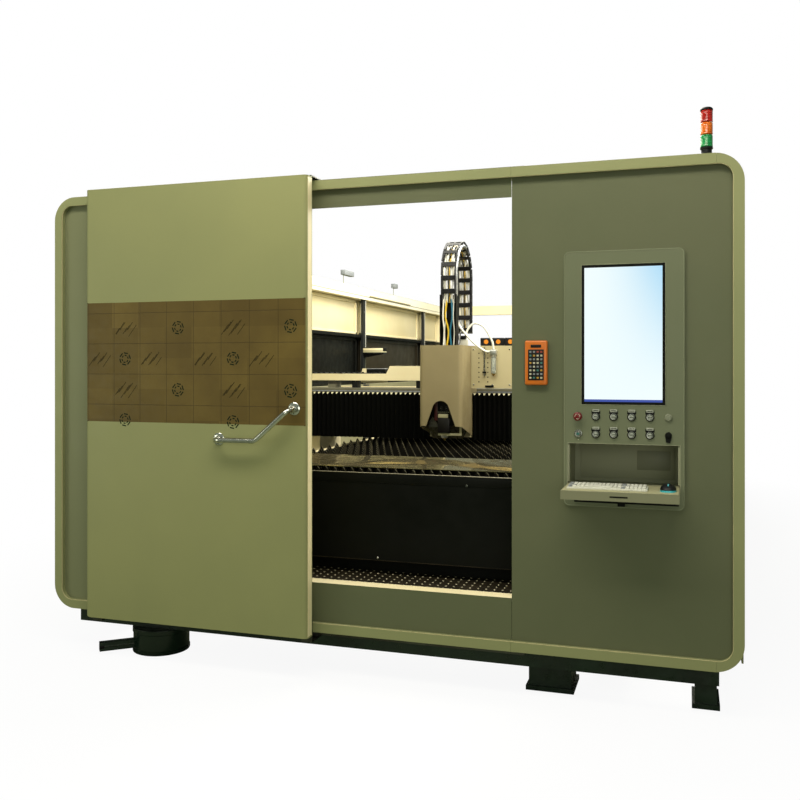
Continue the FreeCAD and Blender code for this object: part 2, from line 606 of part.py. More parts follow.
def build_gantry():
    beam = box("beam_tube", "-gantry_half_length", BEAM_Y, "beam_bottom", "2 * gantry_half_length",
               "beam_depth", "beam_top - beam_bottom")
    lip = box("beam_lip", "-gantry_half_length", "%s + lip_setback" % GANTRY_Y, "beam_top",
              "2 * gantry_half_length", "beam_depth + beam_setback - lip_setback", "beam_lip_gauge")
    parts = [beam, lip]
    for side, sign in (("left", "-"), ("right", "")):
        parts.append(box("truck_" + side, "%s%s - truck_width / 2" % (sign, RAIL_X),
                         "%s + beam_depth / 2 - truck_length / 2" % BEAM_Y, TRUCK_Z, "truck_width",
                         "truck_length", "beam_bottom - %s" % TRUCK_Z))
    for level in ("beam_rail_low", "beam_rail_high"):
        parts.append(box("beam_" + level, "-bellows_end", "%s - beam_rail_size" % BEAM_Y,
                         "%s - beam_rail_size / 2" % level, "2 * bellows_end", "beam_rail_size",
                         "beam_rail_size"))
    node(fuse("gantry_beam", parts))


def build_trough():
    """Cream trough above the beam that carries the cable chain, with a hood over its fixed end."""
    y0, y1 = "(%s + trough_setback)" % GANTRY_Y, "(%s + trough_setback + trough_depth)" % GANTRY_Y
    high = "(trough_low + trough_height)"
    section = [(y0, high), (y0, "trough_low"), (y1, "trough_low"), (y1, high),
               ("%s - trough_gauge" % y1, high), ("%s - trough_gauge" % y1, "trough_low + trough_gauge"),
               ("%s + trough_gauge" % y0, "trough_low + trough_gauge"), ("%s + trough_gauge" % y0, high)]
    channel = pad("trough_channel", "side", [("polygon", section)], "-gantry_half_length",
                  "2 * gantry_half_length")
    legs = [box("trough_post_%s" % side, "%strough_leg_x - trough_leg / 2" % sign, y0,
                "beam_top + beam_lip_gauge", "trough_leg", "trough_depth",
                "trough_low - beam_top - beam_lip_gauge") for side, sign in (("left", "-"), ("right", ""))]
    hood = pad("trough_hood", "front",
               [("polygon", [("hood_left", high), ("hood_right", high),
                             ("hood_right", "trough_low + hood_height"),
                             ("hood_left + hood_slope", "trough_low + hood_height")])], y0, "trough_depth")
    node(fuse("cable_trough", [channel] + legs + [hood]))


def build_x_chain():
    """Cable chain lying in the trough: lower run, half turn at the right, upper run to the carriage."""
    low, high = number("x_chain_low"), number("x_chain_high")
    tall, end = number("x_chain_height"), number("x_chain_end")
    left = number("cover_right + running_gap")
    middle = (low + high + tall) / 2
    outer, inner = (high + tall - low) / 2, (high + tall - low) / 2 - tall
    turn = end - outer
    bends = max(3, int(round(math.pi * (outer + inner) / 2 / number("x_link_pitch"))) + 2)

    def half_turn(reach):
        return [Vector(turn + reach * math.sin(math.pi * k / bends), 0,
                       middle - reach * math.cos(math.pi * k / bends)) for k in range(bends + 1)]

    outline = [Vector(left, 0, low)] + half_turn(outer) + [Vector(left, 0, high + tall)]
    outline += [Vector(left, 0, high)] + half_turn(inner)[::-1] + [Vector(left, 0, low + tall)]
    face = Part.Face(Part.makePolygon(outline + outline[:1]))
    shape = face.extrude(Vector(0, number("x_chain_width"), 0))
    front = number("%s + trough_setback + (trough_depth - x_chain_width) / 2" % GANTRY_Y)
    shape.translate(Vector(0, front, 0))
    node(made("x_chain", shape))


def bellows_shape(left, right):
    """Folded cover seen from above: zigzag front with whole folds, flat back."""
    pitch, fold = number("fold_pitch"), number("fold_depth")
    front, depth = number(GANTRY_Y), number("bellows_depth")
    count = max(1, int(round((right - left) / pitch)))
    step = (right - left) / count
    low, high = number("bellows_low"), number("bellows_high")
    outline = [Vector(right, front + depth, low), Vector(left, front + depth, low)]
    for k in range(count):
        outline.append(Vector(left + k * step, front + fold, low))
        outline.append(Vector(left + (k + 0.5) * step, front, low))
    outline.append(Vector(right, front + fold, low))
    return Part.Face(Part.makePolygon(outline + outline[:1])).extrude(Vector(0, 0, high - low))


def build_bellows():
    gap = "running_gap"
    node(made("bellows_left", bellows_shape(number("-bellows_end"), number("cover_left - " + gap))))
    node(made("bellows_right", bellows_shape(number("cover_right + " + gap), number("bellows_end"))))


# ---------------------------------------------------------------------------------------------------------
# Carriage, head cover, standing chain and cutting head
# ---------------------------------------------------------------------------------------------------------
SPINE_Y = "(%s + spine_front)" % FACE
SPINE_LEFT = "(cover_left + door_gauge)"
SPINE_RIGHT = "(cover_right - door_gauge)"
HEAD_Y = "(%s + head_axis_depth)" % FACE


def build_carriage():
    """Vertical spine with the saddle behind it and the riser plate beside it."""
    spine = box("spine", SPINE_LEFT, SPINE_Y, "saddle_low", "%s - %s" % (SPINE_RIGHT, SPINE_LEFT),
                "spine_gauge", "cover_top - door_gauge - saddle_low")
    saddle = box("saddle", SPINE_LEFT, "%s + spine_gauge" % SPINE_Y, "saddle_low",
                 "%s - %s" % (SPINE_RIGHT, SPINE_LEFT),
                 "%s - beam_rail_size - running_gap - %s - spine_gauge" % (BEAM_Y, SPINE_Y),
                 "saddle_high - saddle_low")
    riser = box("riser", "cover_right", "%s + spine_gauge / 2" % SPINE_Y, "riser_low",
                "riser_right - cover_right", "riser_gauge", "cover_top - riser_low")
    tongue = box("riser_tongue", "%s - 1" % SPINE_RIGHT, "%s + spine_gauge / 2" % SPINE_Y,
                 "riser_low", "door_gauge + 2", "riser_gauge", "cover_top - 60 - riser_low")
    rails = [box("z_rail_" + side, "head_axis_x %s 50 - z_rail_size / 2" % sign,
                 "%s - z_rail_size" % SPINE_Y, "slide_low - 60", "z_rail_size", "z_rail_size",
                 "slide_high - slide_low + 110") for side, sign in (("left", "-"), ("right", "+"))]
    node(fuse("carriage_plate", [spine, saddle, riser, tongue] + rails))


def build_cover():
    """Folded beige cover, open at the back and below, with a bell-shaped cut-out at the nozzle."""
    front, back = "(%s + cover_front)" % FACE, "(%s + cover_back)" % FACE
    wedge = pad("cover_wedge", "side",
                [("polygon", [(front, "cover_bottom"), (back, "cover_skirt"), (back, "cover_top"),
                              (front, "cover_top")])], "cover_left", "cover_right - cover_left")
    column = pad("cover_column", "top",
                 [("rounded", "cover_left", front, "cover_right", "%s + 2 * cover_radius" % back,
                   "cover_radius")], "cover_skirt", "cover_top - cover_skirt")
    hollow = pad("cover_hollow", "top",
                 [("rounded", "cover_left + door_gauge", "%s + door_gauge" % front,
                   "cover_right - door_gauge", "%s + 2 * cover_radius" % back,
                   "cover_radius - door_gauge")],
                 "cover_skirt - 10", "cover_top - door_gauge - cover_skirt + 10")
    slot = box("cover_slot", "%s - 2" % SPINE_RIGHT, "%s + spine_gauge / 2 - running_gap" % SPINE_Y,
               "riser_low - 1", "door_gauge + 4", "riser_gauge + 2 * running_gap",
               "cover_top - 58 - riser_low")
    arch = rod("arch_top", "Y", "arch_x", "%s - 1" % front, "cover_bottom + arch_height - arch_radius",
               "arch_radius", "door_gauge + 2")
    shoulder = "cover_bottom + arch_height - arch_radius * 0.72"
    flare = pad("arch_flare", "front",
                [("polygon", [("arch_x - arch_width / 2", "cover_bottom - 1"),
                              ("arch_x + arch_width / 2", "cover_bottom - 1"),
                              ("arch_x + arch_radius * 0.96", shoulder),
                              ("arch_x - arch_radius * 0.96", shoulder)])],
                "%s - 1" % front, "door_gauge + 2")
    lid_cut = box("cover_lid_cut", SPINE_LEFT, "%s + spine_gauge" % SPINE_Y, "cover_top - 2 * door_gauge",
                  "%s - %s" % (SPINE_RIGHT, SPINE_LEFT), "%s - %s" % (back, SPINE_Y), "3 * door_gauge")
    node(cut("head_cover", common("cover_outer", wedge, column),
             fuse("cover_cuts", [hollow, slot, arch, flare, lid_cut])))


def build_channel():
    """Black channel bracket standing on the cover, open to the front, with the arm under the far run."""
    left = "(chain_x - channel_width / 2)"
    y = "(%s + chain_near_depth - channel_depth / 2)" % FACE
    outer = box("channel_outer", left, y, "cover_top", "channel_width", "channel_depth",
                "channel_top - cover_top")
    hollow = box("channel_hollow", "%s + channel_gauge" % left, "%s - 1" % y, "cover_top - 1",
                 "channel_width - 2 * channel_gauge", "channel_depth - channel_gauge + 1",
                 "channel_top - cover_top + 2")
    arm = box("channel_arm", "%s + channel_gauge" % left, "%s + channel_depth" % y,
              "chain_far_low - arm_gauge", "channel_width - 2 * channel_gauge",
              "2 * chain_radius + chain_link_height / 2 - channel_depth / 2", "arm_gauge")
    node(fuse("z_chain_bracket", [cut("channel", outer, hollow), arm]))


def build_z_chain():
    """Standing cable chain: two side plates round the loop and a cross bar for every link."""
    x0, wide = number("chain_x - chain_width / 2"), number("chain_width")
    near = number("%s + chain_near_depth" % FACE)
    radius, half = number("chain_radius"), number("chain_link_height") / 2
    top = number("chain_apex") - half - radius
    low_near, low_far = number("chain_near_low"), number("chain_far_low")
    far = near + 2 * radius
    plate = number("chain_plate")

    pitch, bar = number("chain_pitch"), number("chain_bar")
    bends = max(3, int(round(math.pi * radius / pitch)))

    def half_turn(offset):
        reach = radius + offset
        return [Vector(0, near + radius - reach * math.cos(math.pi * k / bends),
                       top + reach * math.sin(math.pi * k / bends)) for k in range(bends + 1)]

    outline = [Vector(0, near - half, low_near)] + half_turn(half) + [Vector(0, far + half, low_far)]
    outline += [Vector(0, far - half, low_far)] + half_turn(-half)[::-1] + [Vector(0, near + half, low_near)]
    side = Part.Face(Part.makePolygon(outline + outline[:1])).extrude(Vector(plate, 0, 0))
    solids = []
    for x in (x0, x0 + (wide - plate) / 2, x0 + wide - plate):
        copy = side.copy()
        copy.translate(Vector(x, 0, 0))
        solids.append(copy)
    straight_near, bend = top - low_near, math.pi * radius
    total = straight_near + bend + top - low_far
    count = int(total // pitch)
    for k in range(count):
        along = (k + 0.5) * total / count
        if along < straight_near:
            y, z, turn = near, low_near + along, 0.0
        elif along < straight_near + bend:
            angle = (along - straight_near) / radius
            y, z = near + radius - radius * math.cos(angle), top + radius * math.sin(angle)
            turn = -math.degrees(angle)
        else:
            y, z, turn = far, top - (along - straight_near - bend), 0.0
        cross = Part.makeBox(wide - 2, 2 * half - 6, bar, Vector(x0 + 1, y - half + 3, z - bar / 2))
        cross.rotate(Vector(0, y, z), Vector(1, 0, 0), turn)
        solids.append(cross)
    node(made("z_chain", solids[0].multiFuse(solids[1:])))


def build_filter():
    """Gas filter on the riser plate: head block, clear bowl and drain."""
    y = "(%s + spine_gauge / 2 - filter_radius - 4)" % SPINE_Y
    bowl = turned("filter_bowl", "Z", "filter_x", y, "0",
                  [("5", "filter_low"), ("filter_radius - 6", "filter_low + 14"),
                   ("filter_radius - 3", "filter_low + 14"), ("filter_radius - 3", "filter_high - 40")], 12)
    block = box("filter_block", "filter_x - filter_radius", "%s - filter_radius" % y, "filter_high - 40",
                "2 * filter_radius", "2 * filter_radius + 4", "40")
    node(fuse("gas_filter", [bowl, block]))


def bent_route(points, radius, step=24):
    """Corner points of a bent tube: each corner becomes a few chords of an arc of the given radius."""
    corners = [Vector(*p) for p in points]
    route = [corners[0]]
    for before, corner, after in zip(corners, corners[1:], corners[2:]):
        one, two = (before - corner), (after - corner)
        half = one.getAngle(two) / 2
        reach = min(radius / math.tan(half), 0.45 * min(one.Length, two.Length))
        bend = reach * math.tan(half)
        one.normalize()
        two.normalize()
        centre = corner + (one + two).normalize() * (reach / math.cos(half))
        start, swing = corner + one * reach - centre, math.pi - 2 * half
        axis = start.cross(corner + two * reach - centre)
        chords = max(1, int(math.ceil(math.degrees(swing) / step)))
        for k in range(chords + 1):
            turn = FreeCAD.Rotation(axis, math.degrees(swing) * k / chords)
            route.append(centre + turn.multVec(start) * (bend / start.Length))
    return route + [corners[-1]]


def tube_shape(route, radius, sides=8):
    """Tube of few flats along a route of straight runs, mitred where they meet."""
    first = (route[1] - route[0]).normalize()
    turn = FreeCAD.Rotation(Vector(0, 0, 1), first)
    ring = [route[0] + turn.multVec(Vector(radius * math.cos(a), radius * math.sin(a), 0))
            for a in (2 * math.pi * k / sides for k in range(sides))]
    rings = [ring]
    for k in range(1, len(route)):
        way = (route[k] - route[k - 1]).normalize()
        onward = (route[k + 1] - route[k]).normalize() if k + 1 < len(route) else way
        normal = (way + onward).normalize()
        ring = [point + way * ((route[k] - point).dot(normal) / way.dot(normal)) for point in ring]
        rings.append(ring)
    return flat_sided(rings)


def build_hoses():
    """Hoses in the channel and the two that loop over to the filter."""
    base, y = number("cover_top"), number("%s + chain_near_depth" % FACE)
    x, top, radius = number("chain_x"), number("chain_near_low"), number("hose_radius")
    solids = []
    bow, crest = number("hose_bow"), number("hose_crest")
    for shift, side in ((-34, 1), (-8, -1), (16, 1)):
        sway = side * number("hose_sway")
        points = [(x + shift, y - 12, base), (x + shift, y - 12, base + bow),
                  (x + shift + sway, y - 14, base + crest), (x + shift, y - 12, top)]
        solids.append(tube_shape(bent_route(points, 10 * radius), radius))
    filter_x, filter_y = number("filter_x"), number("%s + spine_gauge / 2 - filter_radius - 4" % SPINE_Y)
    high = number("filter_high")
    reach, rise = number("loop_reach"), number("loop_crest")
    loop = [(x + 88, filter_y, base), (x + 88, filter_y, base + 70), (x + reach, filter_y, base + rise),
            (filter_x - 20, filter_y, base + rise - 20), (filter_x, filter_y, high + 60),
            (filter_x, filter_y, high)]
    solids.append(tube_shape(bent_route(loop, 6 * radius), radius))
    node(made("head_hoses", Part.makeCompound(solids)))


def build_head():
    """Cutting head on its Z slide, with the copper nozzle below it."""
    slide = box("z_slide", "head_axis_x - slide_width / 2",
                "%s - z_rail_size - running_gap - slide_gauge" % SPINE_Y, "slide_low", "slide_width",
                "slide_gauge", "slide_high - slide_low")
    barrel = turned("head_barrel", "Z", "head_axis_x", HEAD_Y, "0",
                    [("nozzle_radius * 2", "head_low - 20"), ("head_radius", "head_low"),
                     ("head_radius", "head_low + 120"), ("head_radius * 1.25", "head_low + 120"),
                     ("head_radius * 1.25", "head_high")])
    arm = box("head_arm", "head_axis_x - head_radius", HEAD_Y, "head_low + 130", "2 * head_radius",
              "%s - z_rail_size - running_gap - slide_gauge - %s" % (SPINE_Y, HEAD_Y), "150")
    drive = box("head_drive", "head_axis_x - head_radius * 1.7", "%s - 20" % HEAD_Y, "head_low + 150",
                "head_radius * 0.8", "40", "110")
    node(fuse("cutting_head", [slide, barrel, arm, drive]))
    node(turned("nozzle", "Z", "head_axis_x", HEAD_Y, "0",
                [("3", "nozzle_low"), ("nozzle_radius", "nozzle_low + 24"),
                 ("nozzle_radius * 1.6", "nozzle_low + 30"), ("nozzle_radius * 1.6", "head_low - 20")], 12))


# ---------------------------------------------------------------------------------------------------------
# Sliding door
# ---------------------------------------------------------------------------------------------------------
def build_door():
    """Folded door box, open at the back, with rounded vertical edges and a seat for the wide pane."""
    corners = [("door_left", DOOR_BACK), ("door_left", DOOR_Y), (DOOR_RIGHT, DOOR_Y),
               (DOOR_RIGHT, DOOR_BACK)]
    outer = pad("door_outer", "top", [("polygon", corners)], "door_bottom",
                "%s - door_bottom" % DOOR_TOP)
    hollow = box("door_hollow", "door_left + door_return", "%s + pane_gauge + door_gauge" % DOOR_Y,
                 "door_bottom + door_return", "door_width - 2 * door_return",
                 "door_thickness", "%s - door_bottom - 2 * door_return" % DOOR_TOP)
    seat = box("door_seat", "door_left - 1", "%s - 1" % DOOR_Y, "window_bottom", "door_width + 2",
               "pane_gauge + 1", "window_top - window_bottom")
    sight = box("door_sight", "door_left + window_margin", "%s - 1" % DOOR_Y,
                "window_bottom + window_margin", "door_width - 2 * window_margin", "door_thickness",
                "window_top - window_bottom - 2 * window_margin")
    shell = cut("door_blank", outer, hollow)
    doc.recompute()
    edges = [k + 1 for k, edge in enumerate(shell.Shape.Edges)
             if edge.BoundBox.ZLength > 1000 and abs(edge.BoundBox.YMax - number(DOOR_Y)) < 0.01]
    rounded = doc.addObject("Part::Fillet", "door_rounded")
    rounded.Base = shell
    radius = min(number("door_edge_radius"), 0.8 * number("door_return"))
    rounded.Edges = [(k, radius, radius) for k in edges]
    corner = cut("door_corner_cut",
                 box("door_corner_block", "door_left - 1", "%s - 1" % DOOR_Y, "door_bottom - 1",
                     "door_corner + 1", "door_thickness + 2", "door_corner + 1"),
                 turned("door_corner_disc", "Y", "door_left + door_corner", "%s - 2" % DOOR_Y,
                        "door_bottom + door_corner",
                        [("door_corner", "0"), ("door_corner", "door_thickness + 4")]))
    node(cut("door_shell", rounded, fuse("door_cuts", [seat, sight, corner])))
    pane = box("pane_blank", "door_left", DOOR_Y, "window_bottom", "door_width", "pane_gauge",
               "window_top - window_bottom")
    node(common("door_pane", pane, rounded_copy(radius)), "door_window")
    build_handle()
    build_hangers()


def rounded_copy(radius):
    """Outer form of the door in the height of the pane, so that the pane follows its rounded edges."""
    blank = box("pane_form", "door_left", DOOR_Y, "window_bottom", "door_width", "door_thickness",
                "window_top - window_bottom")
    doc.recompute()
    edges = [k + 1 for k, edge in enumerate(blank.Shape.Edges)
             if edge.BoundBox.ZLength > 100 and abs(edge.BoundBox.YMax - number(DOOR_Y)) < 0.01]
    rounded = doc.addObject("Part::Fillet", "pane_form_rounded")
    rounded.Base = blank
    rounded.Edges = [(k, radius, radius) for k in edges]
    return rounded


def build_handle():
    """Bent stainless tube between two rosettes."""
    y, stand = number(DOOR_Y), number("handle_standoff")
    points = [("handle_low_x", 0, "handle_low_z"), ("handle_low_x", stand, "handle_low_z"),
              ("handle_knee_x", stand, "handle_low_z"), ("handle_high_x", stand, "handle_high_z"),
              ("handle_high_x", 0, "handle_high_z")]
    route = [(number(x), y - out, number(z)) for x, out, z in points]
    tube = tube_shape(bent_route(route, number("handle_bend")), number("handle_radius"), 12)
    rosettes = [turned("rosette_" + end, "Y", x, "%s - rosette_gauge" % DOOR_Y, z,
                       [("rosette_radius", "0"), ("rosette_radius", "rosette_gauge")])
                for end, x, z in (("low", "handle_low_x", "handle_low_z"),
                                  ("high", "handle_high_x", "handle_high_z"))]
    node(fuse("door_handle", [made("handle_tube", tube)] + rosettes))


def build_hangers():
    """Hanger plates over the top track and guide shoes under the lower flange."""
    pieces = []
    top = "(%s + track_height + running_gap)" % FACE_TOP
    reach = "(%s + track_setback + track_width + running_gap)" % FACE
    for side, x in (("left", "door_left"), ("right", "(%s - hanger_width)" % DOOR_RIGHT)):
        section = [("%s - hanger_gauge" % DOOR_BACK, DOOR_TOP), (DOOR_BACK, DOOR_TOP),
                   (DOOR_BACK, top), (reach, top), (reach, "%s + 2" % FACE_TOP),
                   ("%s + hanger_gauge" % reach, "%s + 2" % FACE_TOP),
                   ("%s + hanger_gauge" % reach, "%s + hanger_gauge" % top),
                   ("%s - hanger_gauge" % DOOR_BACK, "%s + hanger_gauge" % top)]
        pieces.append(pad("hanger_" + side, "side", [("polygon", section)], x, "hanger_width"))
    low = "(base_height - shoe_drop)"
    near, far = "(%s + guide_setback - running_gap)" % FACE, \
        "(%s + guide_setback + guide_gauge + running_gap)" % FACE
    for side, x in (("left", "door_left"), ("right", "(%s - shoe_width)" % DOOR_RIGHT)):
        section = [(DOOR_BACK, low), ("%s + hanger_gauge + 20" % far, low),
                   ("%s + hanger_gauge + 20" % far, "base_height - 12"), (far, "base_height - 12"),
                   (far, "%s + hanger_gauge" % low), (near, "%s + hanger_gauge" % low),
                   (near, "base_height - 12"), ("%s - hanger_gauge" % near, "base_height - 12"),
                   ("%s - hanger_gauge" % near, "%s + hanger_gauge" % low),
                   ("%s + hanger_gauge" % DOOR_BACK, "%s + hanger_gauge" % low),
                   ("%s + hanger_gauge" % DOOR_BACK, "base_height + 90"), (DOOR_BACK, "base_height + 90")]
        pieces.append(pad("shoe_" + side, "side", [("polygon", section)], x, "shoe_width"))
    node(group("door_hangers", pieces))


# ---------------------------------------------------------------------------------------------------------
# Console
# ---------------------------------------------------------------------------------------------------------
def button_x(column):
    return "(button_first_x + %d * button_pitch)" % column


def build_console():
    monitor = ("polygon", [("monitor_left", "monitor_bottom"), ("monitor_right", "monitor_bottom"),
                           ("monitor_right", "monitor_top"), ("monitor_left", "monitor_top")])
    plate = pad("console_blank", "front",
                [("rounded", "console_left", "console_bottom", "console_right", "console_top",
                  "console_radius"), monitor, NICHE_HOLE], PLATE_Y, "console_proud")
    legends = [box("legend_%d_%d" % (row, column), "%s - legend_width / 2" % button_x(column),
                   "%s - legend_gauge" % PLATE_Y, "%s + legend_rise" % level, "legend_width",
                   "legend_gauge", "legend_height")
               for row, level in enumerate(("button_row_high", "button_row_low")) for column in range(1, 5)]
    node(fuse("console_plate", [plate] + legends))
    rim = pad("bezel_frame", "front",
              [monitor, ("polygon", [("monitor_left + monitor_rim", "monitor_bottom + monitor_rim"),
                                     ("monitor_right - monitor_rim", "monitor_bottom + monitor_rim"),
                                     ("monitor_right - monitor_rim", "monitor_top - monitor_rim"),
                                     ("monitor_left + monitor_rim", "monitor_top - monitor_rim")])],
              PLATE_Y, "screen_recess + screen_gauge")
    back = box("bezel_back", "monitor_left", "%s + screen_recess + screen_gauge" % PLATE_Y,
               "monitor_bottom", "monitor_right - monitor_left",
               "monitor_depth - screen_recess - screen_gauge", "monitor_top - monitor_bottom")
    node(fuse("monitor_bezel", [rim, back]))
    node(box("monitor_screen", "monitor_left + monitor_rim", "%s + screen_recess" % PLATE_Y,
             "monitor_bottom + monitor_rim", "monitor_right - monitor_left - 2 * monitor_rim",
             "screen_gauge", "monitor_top - monitor_bottom - 2 * monitor_rim"))


def build_niche():
    """Open-fronted keyboard niche of sheet metal behind the console."""
    outer = box("niche_outer", "niche_left - niche_gauge", PLATE_Y, "niche_bottom",
                "niche_right - niche_left + 2 * niche_gauge", "niche_depth",
                "niche_top + niche_gauge - niche_bottom")
    hollow = box("niche_hollow", "niche_left", "%s - 1" % PLATE_Y, "niche_bottom + niche_gauge",
                 "niche_right - niche_left", "niche_depth - niche_gauge + 1",
                 "niche_top - niche_bottom - niche_gauge")
    node(cut("niche_box", outer, hollow))


DRAWER_Z = "(niche_bottom + niche_gauge + drawer_gap)"
DRAWER_FRONT = "(%s - tray_reach)" % FACE


def build_drawer():
    """Shallow keyboard drawer with a deeper front lip that has a finger slot."""
    top = "(%s + drawer_height)" % DRAWER_Z
    section = [(DRAWER_FRONT, "%s - lip_height" % top), ("%s + lip_gauge" % DRAWER_FRONT,
                                                         "%s - lip_height" % top),
               ("%s + lip_gauge" % DRAWER_FRONT, DRAWER_Z),
               ("%s + drawer_overlap" % PANEL_Y, DRAWER_Z), ("%s + drawer_overlap" % PANEL_Y, top),
               (DRAWER_FRONT, top)]
    blank = pad("drawer_blank", "side", [("polygon", section)], "niche_left + drawer_gap",
                "niche_right - niche_left - 2 * drawer_gap")
    finger = box("finger_slot", "(niche_left + niche_right - finger_width) / 2", "%s - 1" % DRAWER_FRONT,
                 "%s - finger_drop" % top, "finger_width", "lip_gauge - 2", "finger_height")
    node(cut("keyboard_drawer", blank, finger))
    inset = "%s + keyboard_inset" % DRAWER_FRONT
    node(box("keyboard", "niche_left + keyboard_side", inset, top, "keyboard_width", "keyboard_depth",
             "keyboard_height"))
    mouse = box("mouse_block", "niche_right - mouse_side - mouse_width", inset, top, "mouse_width",
                "mouse_length", "mouse_height")
    doc.recompute()
    edges = [k + 1 for k, edge in enumerate(mouse.Shape.Edges)
             if edge.BoundBox.ZMin > number(top) + 1 and edge.BoundBox.ZLength < 0.01]
    body = doc.addObject("Part::Fillet", "mouse")
    body.Base = mouse
    body.Edges = [(k, 0.6 * number("mouse_height"), 0.6 * number("mouse_height")) for k in edges]
    node(body)


def puck(name, x, y, z, radius, depth, sides=12):
    """A short round piece on the console, its axis along the depth of the machine."""
    return turned(name, "Y", x, y, z, [(radius, "0"), (radius, depth)], sides)


def collar(name, x, z, bore):
    ring = puck(name + "_ring", x, "%s - collar_depth" % PLATE_Y, z, "collar_radius", "collar_depth")
    hole = puck(name + "_bore", x, "%s - collar_depth - 1" % PLATE_Y, z, bore, "collar_depth + 2")
    return cut(name, ring, hole)


def build_controls():
    """Collars, eight push buttons, the emergency stop, the key rotor and two port caps."""
    bore = "(button_radius + button_gap)"
    rings = []
    front = "(%s - collar_depth - button_proud)" % PLATE_Y
    count = 0
    for row, level in enumerate(("button_row_high", "button_row_low")):
        for column in range(1, 5):
            count += 1
            rings.append(collar("collar_%d" % count, button_x(column), level, bore))
            node(puck("button_%d" % count, button_x(column), front, level, "button_radius",
                      "collar_depth + button_proud - button_travel - button_gap"))
    rings.append(collar("collar_stop", button_x(0), "button_row_high", bore))
    rings.append(collar("collar_key", button_x(0), "button_row_low", bore))
    for row, level in enumerate(("button_row_high", "button_row_low")):
        rings.append(puck("port_cap_%d" % row, button_x(5), "%s - collar_depth" % PLATE_Y, level,
                          "collar_radius - 2", "collar_depth"))
    node(group("panel_fittings", rings))
    stop_y = "(%s - collar_depth - stop_standoff)" % PLATE_Y
    node(turned("stop_button", "Y", button_x(0), stop_y, "button_row_high",
                [("stop_radius * 0.7", "-stop_gauge / 2"), ("stop_radius", "-stop_gauge / 4"),
                 ("stop_radius", "stop_gauge / 2"), ("stop_stem_radius", "stop_gauge / 2"),
                 ("stop_stem_radius", "stop_standoff + collar_depth - 2 * button_travel")], 12))
    rotor = puck("rotor_blank", button_x(0), "%s - collar_depth - 1" % PLATE_Y, "button_row_low",
                 "rotor_radius", "collar_depth + 1 - button_gap")
    slot = box("rotor_slot", "%s - key_slot_width / 2" % button_x(0), "%s - collar_depth - 2" % PLATE_Y,
               "button_row_low - rotor_radius * 0.6", "key_slot_width", "key_slot_depth + 1",
               "rotor_radius * 1.2")
    node(cut("key_rotor", rotor, slot))


def build_remote():
    """Hand-held remote with its keypad, hung on the panel."""
    body = box("remote_body", "remote_x - remote_width / 2", "%s - remote_depth" % PANEL_Y, "remote_bottom",
               "remote_width", "remote_depth", "remote_height")
    doc.recompute()
    edges = [k + 1 for k, edge in enumerate(body.Shape.Edges) if edge.BoundBox.YLength > 1]
    rounded = doc.addObject("Part::Fillet", "remote_rounded")
    rounded.Base = body
    rounded.Edges = [(k, 0.16 * number("remote_width"), 0.16 * number("remote_width")) for k in edges]
    pad_plate = box("remote_pad", "remote_x - remote_width * 0.36", "%s - remote_depth - 2" % PANEL_Y,
                    "remote_bottom + remote_height * 0.12", "remote_width * 0.72", "2",
                    "remote_height * 0.68")
    node(fuse("remote_control", [rounded, pad_plate]))


def build_stack():
    """Stack light on the border: black base and cap, green, amber and red lenses."""
    y = "(%s + border_depth / 2)" % FACE
    lid_z = "(%s + stack_base + 3 * stack_lens)" % FACE_TOP
    drums = [turned(name, "Z", "stack_x", y, z, [("stack_radius", "0"), ("stack_radius", height)])
             for name, z, height in (("stack_foot", FACE_TOP, "stack_base"),
                                     ("stack_lid", lid_z, "stack_cap"))]
    node(group("stack_ends", drums))
    for k, colour in enumerate(("green", "amber", "red")):
        level = "(%s + stack_base + %d * stack_lens)" % (FACE_TOP, k)
        node(turned("stack_" + colour, "Z", "stack_x", y, level,
                    [("stack_radius", "0"), ("stack_radius", "stack_lens")]))


# ---------------------------------------------------------------------------------------------------------
build_base()
build_feet()
build_border()
build_panels()
build_sill()
build_door_rails()
build_walls()
build_bed()
build_pallet()
build_gantry()
build_trough()
build_x_chain()
build_bellows()
build_carriage()
build_cover()
build_channel()
build_z_chain()
build_filter()
build_hoses()
build_head()
build_door()
build_console()
build_niche()
build_drawer()
build_controls()
build_remote()
build_stack()
doc.recompute()

faults = [item.Name + ": " + " ".join(item.State) for item in doc.Objects
          if "Invalid" in item.State or "Error" in item.State]
faults += [item.Label + " has no valid shape" for item in nodes
           if item.Shape.isNull() or not item.Shape.isValid() or not item.Shape.Solids]
if faults:
    raise RuntimeError("; ".join(faults))

for item in nodes:
    item.Shape.exportStep("parts/%s.step" % item.Label)
print(len(nodes), "pieces written")
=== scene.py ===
"""Looks of an enclosed gantry laser cutting machine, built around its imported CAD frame.

The CAD nodes give the place and size of everything. This script gives them their finishes and adds the
detail pieces that ride on the CAD bodies: door film and handle, console controls, bellows, cable chains,
hoses, cutting head, slats and wall panels. Lengths are metres in the frame of the CAD model: +X right
along the front, +Y into the machine, +Z up, floor at zero.
"""
import json
import logging
import math
import random
from dataclasses import dataclass
from enum import Enum
from typing import Callable, Iterable, Sequence

import bmesh
import bpy
from mathutils import Matrix, Vector

